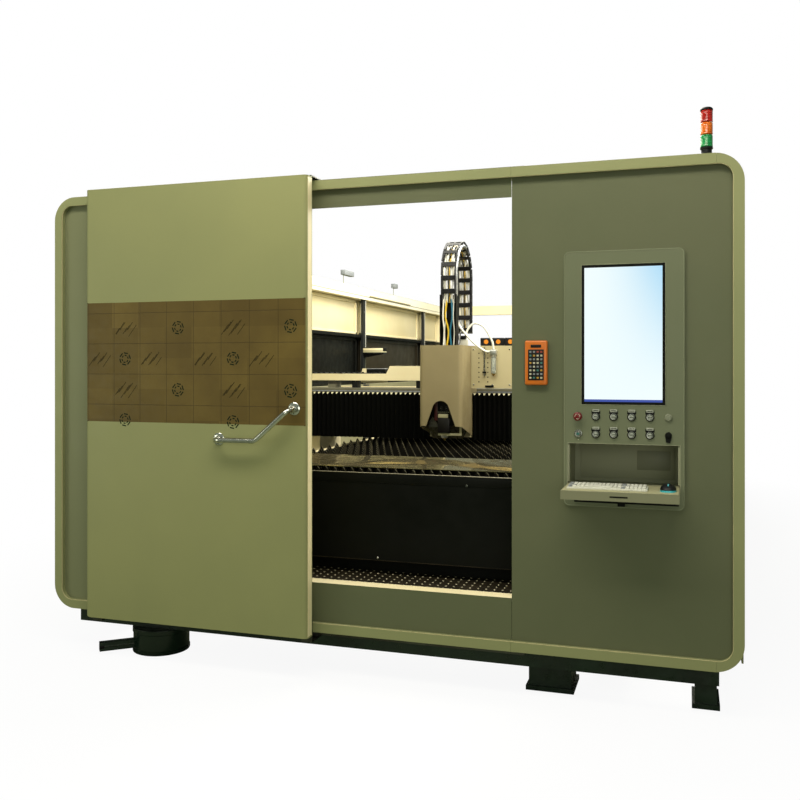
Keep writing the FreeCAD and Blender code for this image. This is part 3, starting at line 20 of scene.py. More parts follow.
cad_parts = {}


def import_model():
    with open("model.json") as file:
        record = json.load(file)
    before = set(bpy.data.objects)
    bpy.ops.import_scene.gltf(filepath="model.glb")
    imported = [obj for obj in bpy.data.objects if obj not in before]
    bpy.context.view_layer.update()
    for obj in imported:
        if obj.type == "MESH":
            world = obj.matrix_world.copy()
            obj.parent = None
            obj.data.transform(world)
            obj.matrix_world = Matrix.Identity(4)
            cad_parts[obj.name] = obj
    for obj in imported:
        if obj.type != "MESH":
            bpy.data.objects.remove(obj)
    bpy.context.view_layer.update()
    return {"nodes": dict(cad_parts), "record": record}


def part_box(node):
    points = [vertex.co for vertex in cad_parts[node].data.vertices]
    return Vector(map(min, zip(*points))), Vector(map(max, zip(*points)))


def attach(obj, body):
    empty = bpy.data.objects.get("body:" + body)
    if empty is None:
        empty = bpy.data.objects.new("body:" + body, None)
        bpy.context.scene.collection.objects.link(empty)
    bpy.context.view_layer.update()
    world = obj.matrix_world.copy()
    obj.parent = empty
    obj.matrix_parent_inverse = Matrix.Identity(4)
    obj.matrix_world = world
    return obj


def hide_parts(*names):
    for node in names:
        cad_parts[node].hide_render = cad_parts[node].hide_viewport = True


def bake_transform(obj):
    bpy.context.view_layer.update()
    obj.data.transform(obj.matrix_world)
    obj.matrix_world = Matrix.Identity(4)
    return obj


log = logging.getLogger("scene")
Point = tuple[float, float, float]
Bounds = tuple[Point, Point]
Socket = bpy.types.NodeSocket
Material = bpy.types.Material

#: Heights on the side walls: top of the cream plinth, top of the ledge, foot of the white band.
PLINTH_TOP, LEDGE_TOP, BAND_FOOT = 1.3515, 1.861, 2.2305
#: Distance from the middle beyond which a side wall shows its outer skin.
SKIN_X = 1.766
#: Cells of the door film: number across and height of one.
FILM_COLUMNS, FILM_ROW = 8, 0.158
#: Height of the first pressed line above the film's lower edge.
FILM_START = 0.09
#: Height of the trough's channel, from its floor to its upper edge.
TROUGH_HEIGHT = 0.109
#: Lower edge of the cutting-head cover.
COVER_FOOT = 1.135


# ------------------------------------------------------------
# Colour and materials
# ------------------------------------------------------------
def linear(code: str) -> tuple[float, float, float, float]:
    """Turn a hex colour code into the linear colour that Blender's sockets take.

    Args:
        code: six hex digits, with or without a leading hash.

    Returns:
        Linear red, green, blue and an alpha of one.
    """
    code = code.lstrip("#")
    parts = [int(code[k:k + 2], 16) / 255 for k in (0, 2, 4)]
    return (*[c / 12.92 if c <= 0.04045 else ((c + 0.055) / 1.055) ** 2.4 for c in parts], 1.0)


@dataclass(frozen=True)
class Finish:
    """How one surface looks: its colours, gloss and the grain that its bump map shows.

    Attributes:
        base: main colour.
        shade: second colour, which large soft clouds mix in.
        rough: mean roughness.
        metal: metallic share.
        cloud: scale of the clouds, per metre.
        grain: scale of the fine grain, per metre.
        bump: height of the grain in metres.
        stretch: scale of the grain along X, Y and Z, for brushed or rolled surfaces.
        coat: clear coat weight.
        spread: how much the roughness varies.
        dust: share of pale dust that settles on faces that look up.
        spec: strength of the mirror highlight of a non-metal.
    """

    base: str
    shade: str
    rough: float = 0.5
    metal: float = 0.0
    cloud: float = 1.2
    grain: float = 900.0
    bump: float = 0.00004
    stretch: tuple[float, float, float] = (1.0, 1.0, 1.0)
    coat: float = 0.0
    spread: float = 0.06
    dust: float = 0.0
    spec: float = 0.5


FINISHES: dict[str, Finish] = {
    "painted_green": Finish("#94966B", "#8C8F66", 0.46, bump=0.00006, spec=0.3),
    "door_green": Finish("#939466", "#8B8D62", 0.46, bump=0.00006, spec=0.3),
    "panel_grey": Finish("#65684E", "#5E6349", 0.50, bump=0.00007, spec=0.3),
    "dark_green": Finish("#14291B", "#0C1A12", 0.38, bump=0.0002, grain=300, cloud=6, spread=0.14),
    "cream": Finish("#EEE2BC", "#E4D6A8", 0.42, bump=0.00006, dust=0.1),
    "wall_white": Finish("#F2EEDD", "#EAE4CC", 0.45, bump=0.00006),
    "beige_cover": Finish("#8E8260", "#847857", 0.50, grain=1400, bump=0.0001, cloud=3),
    "machine_black": Finish("#0C0D0A", "#060705", 0.46, cloud=2.5, bump=0.00003, grain=500, spread=0.12,
                            spec=0.14),
    "raw_steel": Finish("#5A5A55", "#474640", 0.38, 1.0, 7, 260, 0.00006, (0.15, 1, 1), spread=0.16),
    "bright_steel": Finish("#D8D8D2", "#C9C9C4", 0.16, 1.0, 8, 1200, 0.00001, spread=0.05),
    # Warm cream colour of the sheet: painted reflection of the cream walls, laid over its rendered
    # reflections.
    "sheet_steel": Finish("#CFC193", "#A0946E", 0.09, 0.86, 4, 260, 0.00002, (0.1, 1, 1), spread=0.05),
    "slat_steel": Finish("#181610", "#0F0D09", 0.6, 0.3, 14, 420, 0.0002, spread=0.2, spec=0.2),
    "bellows_cloth": Finish("#060705", "#040403", 0.7, grain=2600, bump=0.00012, spec=0.05),
    "black_plastic": Finish("#101115", "#0A0B0D", 0.38, grain=1500, bump=0.00008, spread=0.1, spec=0.3),
    "hose": Finish("#E3E1D6", "#D3D1C4", 0.34, grain=400, bump=0.00002),
    "brass": Finish("#C9A45C", "#A98443", 0.26, 1.0, 30, 1500, 0.00002),
    "head_metal": Finish("#B9BAB6", "#A2A39E", 0.32, 1.0, 9, 900, 0.00003),
    "filter_body": Finish("#BFC1BD", "#A5A8A4", 0.34, 0.9, 30, 900, 0.00003),
    "key_white": Finish("#D9D8CE", "#CBCABF", 0.48, grain=1800, bump=0.00005),
    "remote_orange": Finish("#D9761F", "#C96614", 0.36, coat=0.15, grain=1500, bump=0.00005),
    "button_pale": Finish("#A9ADA3", "#989D92", 0.30, coat=0.3, grain=900, bump=0.00002),
    "stop_red": Finish("#720A12", "#60080E", 0.4, coat=0.15, grain=900, bump=0.00002),
    "ring_silver": Finish("#A9AAA6", "#90918D", 0.26, 1.0, 40, 1500, 0.00001),
    "lens_green": Finish("#1FA45A", "#128445", 0.16, coat=0.6, cloud=20, grain=60, bump=0.0001),
    "lens_amber": Finish("#F07A1E", "#DB6410", 0.16, coat=0.6, cloud=20, grain=60, bump=0.0001),
    "lens_red": Finish("#C8231C", "#A8160F", 0.16, coat=0.6, cloud=20, grain=60, bump=0.0001),
}
#: Finishes of details that share a record slot with a CAD node but differ in colour.
TRIMS: dict[str, tuple[Finish, str]] = {
    "legend_black": (Finish("#0D0D0F", "#08080A", 0.4, grain=900, spec=0.25), "machine_black"),
    "legend_field": (Finish("#A9AB9F", "#9D9F93", 0.5), "key_white"),
    "stiffener": (Finish("#CFCAB2", "#BDB8A0", 0.5), "key_white"),
    "orange_dot": (Finish("#E08A1C", "#C97512", 0.4), "remote_orange"),
    "hose_yellow": (Finish("#D9B52C", "#C6A11F", 0.34), "hose"),
    "hose_teal": (Finish("#1E6E8C", "#175A74", 0.34), "hose"),
    "foil": (Finish("#B9BCC0", "#8D9196", 0.3, 0.9, 60, 90, 0.001), "bright_steel"),
    "head_dark": (Finish("#131010", "#0C0A0A", 0.4, spec=0.3), "machine_black"),
    "bay_brown": (Finish("#2E281B", "#241F14", 0.42, cloud=1.5, spec=0.25), "machine_black"),
    "shield_brown": (Finish("#4C452F", "#3A3422", 0.3, cloud=9, spread=0.15), "machine_black"),
    "head_red": (Finish("#431310", "#360D0A", 0.45), "stop_red"),
    "teal": (Finish("#3DB4C4", "#2EA0B0", 0.3), "black_plastic"),
    # Lighter copy of the console paint: painted light that brightens the shaded niche.
    "niche_lightened": (Finish("#9FA088", "#95967D", 0.5, spec=0.3), "painted_green"),
    "recess_dark": (Finish("#5E604E", "#555745", 0.55), "painted_green"),
    "drawer_top": (Finish("#B5B08C", "#A8A37F", 0.45), "painted_green"),
    "motif_green": (Finish("#0F2417", "#0B1C11", 0.6, spec=0.1), "film"),
    "stroke_brown": (Finish("#231F0E", "#1B180A", 0.6, spec=0.1), "film"),
    "key_dark": (Finish("#121316", "#0D0E10", 0.4, spec=0.3), "black_plastic"),
    "key_teal": (Finish("#3F7F78", "#376F69", 0.4), "black_plastic"),
    "key_red": (Finish("#A8402C", "#943725", 0.4), "black_plastic"),
    "key_amber": (Finish("#C79A34", "#B4892B", 0.4), "black_plastic"),
    "console_edge": (Finish("#86896E", "#7E8167", 0.45), "painted_green"),
    "recess_grey": (Finish("#85866F", "#7D7E68", 0.5), "painted_green"),
    "drawer_front": (Finish("#87866C", "#7F7E65", 0.46, spec=0.3), "painted_green"),
    # Pale lip round the border's inner edge: painted highlight of the lit edge.
    "border_edge_highlight": (Finish("#C3B98E", "#B7AD82", 0.45), "painted_green"),
    "key_grey": (Finish("#8E9296", "#7F8387", 0.4), "key_white"),
    "rubber_grey": (Finish("#888B76", "#7C7F6B", 0.5), "painted_green"),
    "seal_black": (Finish("#0B0C0A", "#060705", 0.6, spec=0.15), "machine_black"),
    "console_paint": (Finish("#70755C", "#6B7058", 0.48, bump=0.00006, spec=0.3), "painted_green"),
    # Painted highlight on the slats' cut edges and on the top edge of the bed's front bar.
    "edge_highlight": (Finish("#8C846A", "#6E674F", 0.5, 0.3, 40, 500, 0.0001), "slat_steel"),
    "foot_gloss": (Finish("#12241A", "#0B1810", 0.2, bump=0.0001, grain=200, coat=0.4), "dark_green"),
    "stud_bright": (Finish("#ADA58C", "#928B74", 0.4, 0.4), "raw_steel"),
    "tread_brown": (Finish("#332C20", "#221E16", 0.6, 0.3, 9, 300, 0.0002, spread=0.15, spec=0.2),
                    "raw_steel"),
    "riser_cream": (Finish("#BDB28E", "#B0A57F", 0.45, bump=0.00006), "cream"),
    "post_dark": (Finish("#1B1D1E", "#131516", 0.45, spec=0.3), "machine_black"),
    "edge_light": (Finish("#C9C8BE", "#B5B4AA", 0.4), "bright_steel"),
}


class Graph:
    """Node tree of a material or of the world, with one call that adds a node."""

    def __init__(self, owner: bpy.types.ID) -> None:
        self.owner = owner
        owner.use_nodes = True
        self.tree = owner.node_tree
        self.tree.nodes.clear()

    def add(self, kind: str, *inputs, out: int | str = 0, **properties) -> Socket | None:
        """Add a node, set its properties and feed its inputs.

        Args:
            kind: node type without the "ShaderNode" in front.
            *inputs: values for the first sockets, or one dict of socket name or index to value. A value is
                a number, a hex colour code or the output socket that feeds the input.
            out: name or index of the output that is wanted.
            **properties: attributes of the node.

        Returns:
            That output, or nothing from a node without outputs.
        """
        node = self.tree.nodes.new("ShaderNode" + kind)
        for key, value in properties.items():
            setattr(node, key, value)
        fed = inputs[0] if inputs and isinstance(inputs[0], dict) else dict(enumerate(inputs))
        for key, value in fed.items():
            if isinstance(value, Socket):
                self.tree.links.new(value, node.inputs[key])
            else:
                node.inputs[key].default_value = linear(value) if isinstance(value, str) else value
        return node.outputs[out] if node.outputs else None

    def axis(self, index: int) -> Socket:
        """X, Y or Z of the coordinates in metres that stay with the object."""
        return self.add("SeparateXYZ", self.add("TexCoord", out="Object"), out=index)


def new_graph(name: str) -> Graph:
    """Empty graph of a new material."""
    return Graph(bpy.data.materials.new(name))


def surface_of(graph: Graph, finish: Finish, colour: Socket, normal: Socket | None = None,
               tint: str = "#FFFFFF") -> Material:
    """Close a graph with the shader of a finish, its grain bump and uneven gloss.

    Args:
        graph: the material's graph.
        finish: gloss and grain.
        colour: base colour.
        normal: coarser bump below the grain.
        tint: colour of the mirror highlight.

    Returns:
        The finished material.
    """
    point = graph.add("TexCoord", out="Object")
    stretched = graph.add("Mapping", {"Vector": point, "Scale": finish.stretch})
    grain = graph.add("TexNoise", {"Vector": stretched, "Scale": finish.grain, "Detail": 2})
    bumped = {"Height": grain, "Strength": 1.0, "Distance": finish.bump}
    if normal is not None:
        bumped["Normal"] = normal
    bump = graph.add("Bump", bumped)
    blur = graph.add("TexNoise", {"Vector": point, "Scale": finish.cloud * 5 + 3, "Detail": 4})
    rough = graph.add("MapRange", blur, 0.3, 0.7, finish.rough - finish.spread, finish.rough + finish.spread)
    graph.add("OutputMaterial", graph.add("BsdfPrincipled", {
        "Base Color": colour, "Metallic": finish.metal, "Roughness": rough, "Normal": bump,
        "Coat Weight": finish.coat, "Coat Roughness": 0.12, "Specular IOR Level": finish.spec,
        "Specular Tint": tint}))
    return graph.owner


def layered(graph: Graph, base: Socket | str, *layers: tuple[Socket, Socket | str]) -> Socket:
    """A colour with others laid over it.

    Args:
        graph: the material's graph.
        base: colour below, a hex code or a socket.
        *layers: share and colour of each layer.

    Returns:
        The colour.
    """
    for share, colour in layers:
        base = graph.add("Mix", {0: share, 6: base, 7: colour}, out=2, data_type="RGBA")
    return base


def clouded(graph: Graph, finish: Finish) -> Socket:
    """Base colour of a finish with soft clouds, and dust on faces that look up.

    Args:
        graph: the material's graph.
        finish: colours, cloud scale and dust.

    Returns:
        The colour.
    """
    point = graph.add("TexCoord", out="Object")
    noise = graph.add("TexNoise", {"Vector": point, "Scale": finish.cloud, "Detail": 5})
    clouds = graph.add("MapRange", noise, 0.35, 0.65, 0.0, 1.0)
    layers = [(clouds, finish.shade)]
    if finish.dust:
        up = graph.add("SeparateXYZ", graph.add("NewGeometry", out="Normal"), out=2)
        specks = graph.add("TexNoise", {"Vector": point, "Scale": 14, "Detail": 5})
        facing = graph.add("MapRange", up, 0.5, 1.0, 0.0, finish.dust)
        layers.append((graph.add("Math", facing, specks, operation="MULTIPLY"), "#B9B09A"))
    return layered(graph, finish.base, *layers)


def plain(name: str, finish: Finish) -> Material:
    """Ordinary painted, moulded or metal surface."""
    graph = new_graph(name)
    return surface_of(graph, finish, clouded(graph, finish))


def two_tone(name: str, finish: Finish, axis: int, test: str, edge: float,
             other: str = "#E0D4AE") -> Material:
    """A finish that turns to another colour on one side of a plane.

    Args:
        name: name of the material.
        finish: finish of the first side.
        axis: index of the axis that the plane cuts.
        test: "LESS_THAN" or "GREATER_THAN", which side has the other colour.
        edge: place of the plane on that axis.
        other: colour of the other side.

    Returns:
        The material.
    """
    graph = new_graph(name)
    beyond = graph.add("Math", graph.axis(axis), edge, operation=test)
    return surface_of(graph, finish, layered(graph, clouded(graph, finish), (beyond, other)))


def within(graph: Graph, value: Socket, low: float, high: float) -> Socket:
    """One where the value lies between two limits, else nought.

    Args:
        graph: the material's graph.
        value: coordinate.
        low: lower limit.
        high: upper limit.

    Returns:
        The mask.
    """
    return graph.add("Math", graph.add("Math", value, low, operation="GREATER_THAN"),
                     graph.add("Math", value, high, operation="LESS_THAN"), operation="MULTIPLY")


def stripe(graph: Graph, value: Socket, pitch: float, offset: float, width: float) -> Socket:
    """One where the value lies on a line of a repeated grid, else nought.

    Args:
        graph: the material's graph.
        value: coordinate across the lines.
        pitch: distance between lines.
        offset: middle of the first line.
        width: width of a line.

    Returns:
        The mask.
    """
    shifted = graph.add("Math", value, offset - width / 2, operation="SUBTRACT")
    inside = graph.add("Math", shifted, pitch, operation="FLOORED_MODULO")
    return graph.add("Math", inside, width, operation="LESS_THAN")


def film_material() -> Material:
    """Kraft-brown protective film in pressed cells, with scuffs and a faint gloss.

    Returns:
        The material.
    """
    graph = new_graph("film")
    add = graph.add
    (left, _, foot), (right, _, _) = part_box("door_window")
    finish = Finish("#5E4D25", "#6B592B", 0.5, cloud=5, grain=160, bump=0.0001, spread=0.1, spec=0.25)
    x, z = graph.axis(0), graph.axis(2)
    wide, line = (right - left) / FILM_COLUMNS, 0.0028
    lines = add("Math", stripe(graph, x, wide, left + 0.012, line),
                stripe(graph, z, FILM_ROW, foot + FILM_START, line), operation="MAXIMUM")
    columns = add("Math", add("Math", x, left, operation="SUBTRACT"), wide, operation="DIVIDE")
    rows = add("Math", z, FILM_ROW, operation="DIVIDE")
    cell = add("CombineXYZ", *(add("Math", count, operation="FLOOR") for count in (columns, rows)))
    tone = add("Math", add("TexWhiteNoise", {"Vector": cell}, out="Value"), 0.55, operation="MULTIPLY")
    creases = add("Math", lines, 0.6, operation="MULTIPLY")
    colour = layered(graph, clouded(graph, finish), (tone, "#4F3F1C"), (creases, "#2C200B"))
    press = add("Bump", {"Height": add("Math", 1.0, lines, operation="SUBTRACT"), "Strength": 0.5,
                         "Distance": 0.0008})
    return surface_of(graph, finish, colour, press)


def screen_material() -> Material:
    """Lit display: a plain pale gradient with a thin blue bar along the bottom.

    Returns:
        The material.
    """
    graph = new_graph("screen")
    add = graph.add
    low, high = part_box("monitor_screen")
    across, up = (add("MapRange", graph.axis(k), low[k], high[k], 0.0, 1.0) for k in (0, 2))
    corner = add("Math", add("Math", across, 2.0, operation="POWER"), add("Math", up, 1.5, operation="POWER"),
                 operation="MULTIPLY")
    lifted = add("Math", add("Math", corner, 0.05, operation="ADD"), 1.0, operation="MINIMUM")
    slanted = add("Mapping", {"Vector": add("TexCoord", out="Object"), "Scale": (9, 1, 2),
                              "Rotation": (0, 0.6, 0)})
    noise = add("TexNoise", {"Vector": slanted, "Scale": 1.0, "Detail": 1})
    rays = add("Math", add("MapRange", noise, 0.3, 0.7, 0.0, 0.25), corner, operation="MULTIPLY")
    bar = add("Math", up, 0.018, operation="LESS_THAN")
    colour = layered(graph, "#F4FFFF", (lifted, "#A9D9F5"), (rays, "#D6F2FF"), (bar, "#4457A6"))
    glass = add("BsdfPrincipled", {"Base Color": "#05070A", "Roughness": 0.12})
    lit = add("Emission", {"Color": colour, "Strength": 1.15})
    add("OutputMaterial", add("MixShader", 0.88, glass, lit))
    return graph.owner


def sheet_material() -> Material:
    """Bright sheet of metal that sags a little between the slats, so that its reflections bend. Its warm
    cream colour and highlight tint are painted reflection of the cream walls.

    Returns:
        The material.
    """
    graph = new_graph("sheet_steel")
    finish = FINISHES["sheet_steel"]
    noise = graph.add("TexNoise", {"Vector": graph.add("TexCoord", out="Object"), "Scale": 2.6, "Detail": 0})
    height = graph.add("Math", graph.add("Math", noise, 0.085, operation="MULTIPLY"),
                       graph.add("Math", graph.axis(1), 0.10, operation="MULTIPLY"), operation="SUBTRACT")
    bend = graph.add("Bump", {"Height": height, "Strength": 1.0, "Distance": 1.0})
    # Cream highlight tint: painted reflection of the cream walls.
    return surface_of(graph, finish, clouded(graph, finish), bend, "#E4D6AA")


def glass_material() -> Material:
    """Clear bowl of the gas filter.

    Returns:
        The material.
    """
    graph = new_graph("clear_bowl")
    graph.add("OutputMaterial", graph.add("BsdfPrincipled", {
        "Base Color": "#CBD2CC", "Roughness": 0.08, "Transmission Weight": 0.75, "IOR": 1.45}))
    return graph.owner


def bed_material() -> Material:
    """Bed frame: cream beams behind a black front plate."""
    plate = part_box("bed_frame")[0][1] + 0.12
    return two_tone("bed_paint", FINISHES["machine_black"], 1, "GREATER_THAN", plate)


def beam_material() -> Material:
    """Gantry beam: grey beam on cream end trucks."""
    grey = Finish("#6E6B58", "#625F4D", 0.4, cloud=5, bump=0.00006)
    return two_tone("beam_paint", grey, 2, "LESS_THAN", 1.02)


def trough_material() -> Material:
    """Cable trough: cream channel on grey legs, with painted shade as a dark band at the top of each leg.

    Returns:
        The material.
    """
    graph = new_graph("trough_paint")
    cream, level = FINISHES["cream"], graph.axis(2)
    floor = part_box("cable_trough")[1][2] - TROUGH_HEIGHT
    # Painted shade: the dark band along the top of each leg matches the shaded gap behind the legs.
    shaded_leg_tops = graph.add("Math", level, floor - 0.028, operation="GREATER_THAN")
    below = graph.add("Math", level, floor, operation="LESS_THAN")
    legs = layered(graph, "#6E6B58", (shaded_leg_tops, "#2A2720"))
    return surface_of(graph, cream, layered(graph, clouded(graph, cream), (below, legs)))


def front_material() -> Material:
    """Front panel with painted light: it gets lighter towards its left edge, where more light falls.

    Returns:
        The material.
    """
    graph = new_graph("front_paint_lit_left")
    finish = FINISHES["panel_grey"]
    # Painted light: the lighter colour towards the left edge stands in for light that falls from the left.
    strip = graph.add("MapRange", graph.axis(0), -1.6, -0.5, 1.0, 0.0)
    return surface_of(graph, finish, layered(graph, clouded(graph, finish), (strip, "#7B7E5F")))


def wall_material() -> Material:
    """Enclosure wall: green skin, white top band, cream bays, black panels below them and a cream plinth.

    Returns:
        The material.
    """
    graph = new_graph("wall_white")
    add, finish = graph.add, FINISHES["wall_white"]
    x, y, z = (graph.axis(k) for k in range(3))
    (_, front, _), (_, rear, top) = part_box("side_wall_left")
    inside = add("Math", add("Math", x, operation="ABSOLUTE"), SKIN_X, operation="LESS_THAN")
    dark, cream = (add("Math", inside, within(graph, z, low, high), operation="MULTIPLY")
                   for low, high in ((PLINTH_TOP, LEDGE_TOP), (-1.0, BAND_FOOT)))
    low = add("Math", add("MapRange", z, 0.0, 0.72, 0.95, 1.3),
              add("Math", z, PLINTH_TOP, operation="LESS_THAN"), operation="MULTIPLY")
    skin = add("Math", add("Math", 1.0, inside, operation="SUBTRACT"),
               add("Math", y, front + 0.002, operation="LESS_THAN"), operation="MAXIMUM")
    outer = add("Math", skin, add("Math", z, top - 0.002, operation="GREATER_THAN"), operation="MAXIMUM")
    pitch = (rear - front) / 6
    seams = stripe(graph, y, pitch, front - 0.0015, 0.003)
    bay = add("Math", add("Math", y, front, operation="SUBTRACT"), 2 * pitch, operation="FLOORED_MODULO")
    slots = add("Math", within(graph, bay, pitch + 0.35, pitch + 0.85), within(graph, z, 0.55, 0.87),
                operation="MULTIPLY")
    louvres = add("Math", slots, stripe(graph, z, 0.032, 0.55, 0.012), operation="MULTIPLY")
    lines = add("Math", skin, add("Math", seams, louvres, operation="MAXIMUM"), operation="MULTIPLY")
    bays = layered(graph, "#F0E6C4", (low, "#8B8767"))
    return surface_of(graph, finish, layered(graph, clouded(graph, finish), (cream, bays), (dark, "#0A0A08"),
                                             (outer, "#8B8C67"), (lines, "#3A3C2C")))


MATERIALS: dict[str, Material] = {}
SPECIAL: dict[str, Callable[[], Material]] = {
    "film": film_material, "screen": screen_material, "wall_white": wall_material,
    "sheet_steel": sheet_material, "bed_paint": bed_material, "trough_paint": trough_material,
    "front_paint_lit_left": front_material, "beam_paint": beam_material, "clear_bowl": glass_material}


def material(name: str) -> Material:
    """The material of a record slot or a trim, made once.

    Args:
        name: slot, trim or special material.

    Returns:
        The material.
    """
    if name not in MATERIALS:
        if name in SPECIAL:
            MATERIALS[name] = SPECIAL[name]()
        else:
            MATERIALS[name] = plain(name, TRIMS[name][0] if name in TRIMS else FINISHES[name])
    return MATERIALS[name]


# ------------------------------------------------------------
# Mesh pieces
# ------------------------------------------------------------
class Axis(Enum):
    """Axis that a turned form or a screw stands along."""

    X = (1, 0, 0)
    Y = (0, 1, 0)
    Z = (0, 0, 1)

    @property
    def way(self) -> Vector:
        """Direction of the axis."""
        return Vector(self.value)


def smooth_path(points: Sequence[Point], steps: int = 8) -> list[Vector]:
    """Points on a smooth curve through the given ones.

    Args:
        points: places that the curve passes.
        steps: points between two of them.

    Returns:
        The points of the curve.
    """
    known = [Vector(p) for p in points]
    ends = [known[0] * 2 - known[1], *known, known[-1] * 2 - known[-2]]
    path = []
    for a, b, c, d in zip(ends, ends[1:], ends[2:], ends[3:]):
        for k in range(steps):
            t = k / steps
            path.append(0.5 * (2 * b + (c - a) * t + (2 * a - 5 * b + 4 * c - d) * t * t
                               + (3 * b - a - 3 * c + d) * t ** 3))
    return path + [known[-1]]


def rounded_route(corners: Sequence[Vector], radius: float, steps: int = 10) -> list[Vector]:
    """A route of straight runs with a round bend at each inner corner.

    Args:
        corners: ends and corners of the route.
        radius: radius of the bends.
        steps: segments of a bend.

    Returns:
        The points of the route.
    """
    route = [corners[0]]
    for before, corner, after in zip(corners, corners[1:], corners[2:]):
        one, two = (before - corner).normalized(), (after - corner).normalized()
        half = one.angle(two) / 2
        reach = radius / math.tan(half)
        centre = corner + (one + two).normalized() * (radius / math.sin(half))
        start, end = corner + one * reach - centre, corner + two * reach - centre
        route += [centre + radius * start.slerp(end, k / steps).normalized() for k in range(steps + 1)]
    return route + [corners[-1]]


def outline_route(low: Point, high: Point, inset: float, radius: float, y: float) -> list[Vector]:
    """Closed route inside a rectangle with round corners, in a plane of constant Y.

    Args:
        low: lowest corner of the rectangle.
        high: highest corner.
        inset: distance from its edges.
        radius: radius of the corners.
        y: place of the plane.

    Returns:
        The points of the route.
    """
    x0, z0, x1, z1 = low[0] + inset, low[2] + inset, high[0] - inset, high[2] - inset
    middle = (x0 + x1) / 2
    spots = ((middle, z0), (x1, z0), (x1, z1), (x0, z1), (x0, z0), (middle, z0))
    return rounded_route([Vector((x, y, z)) for x, z in spots], radius, 8)


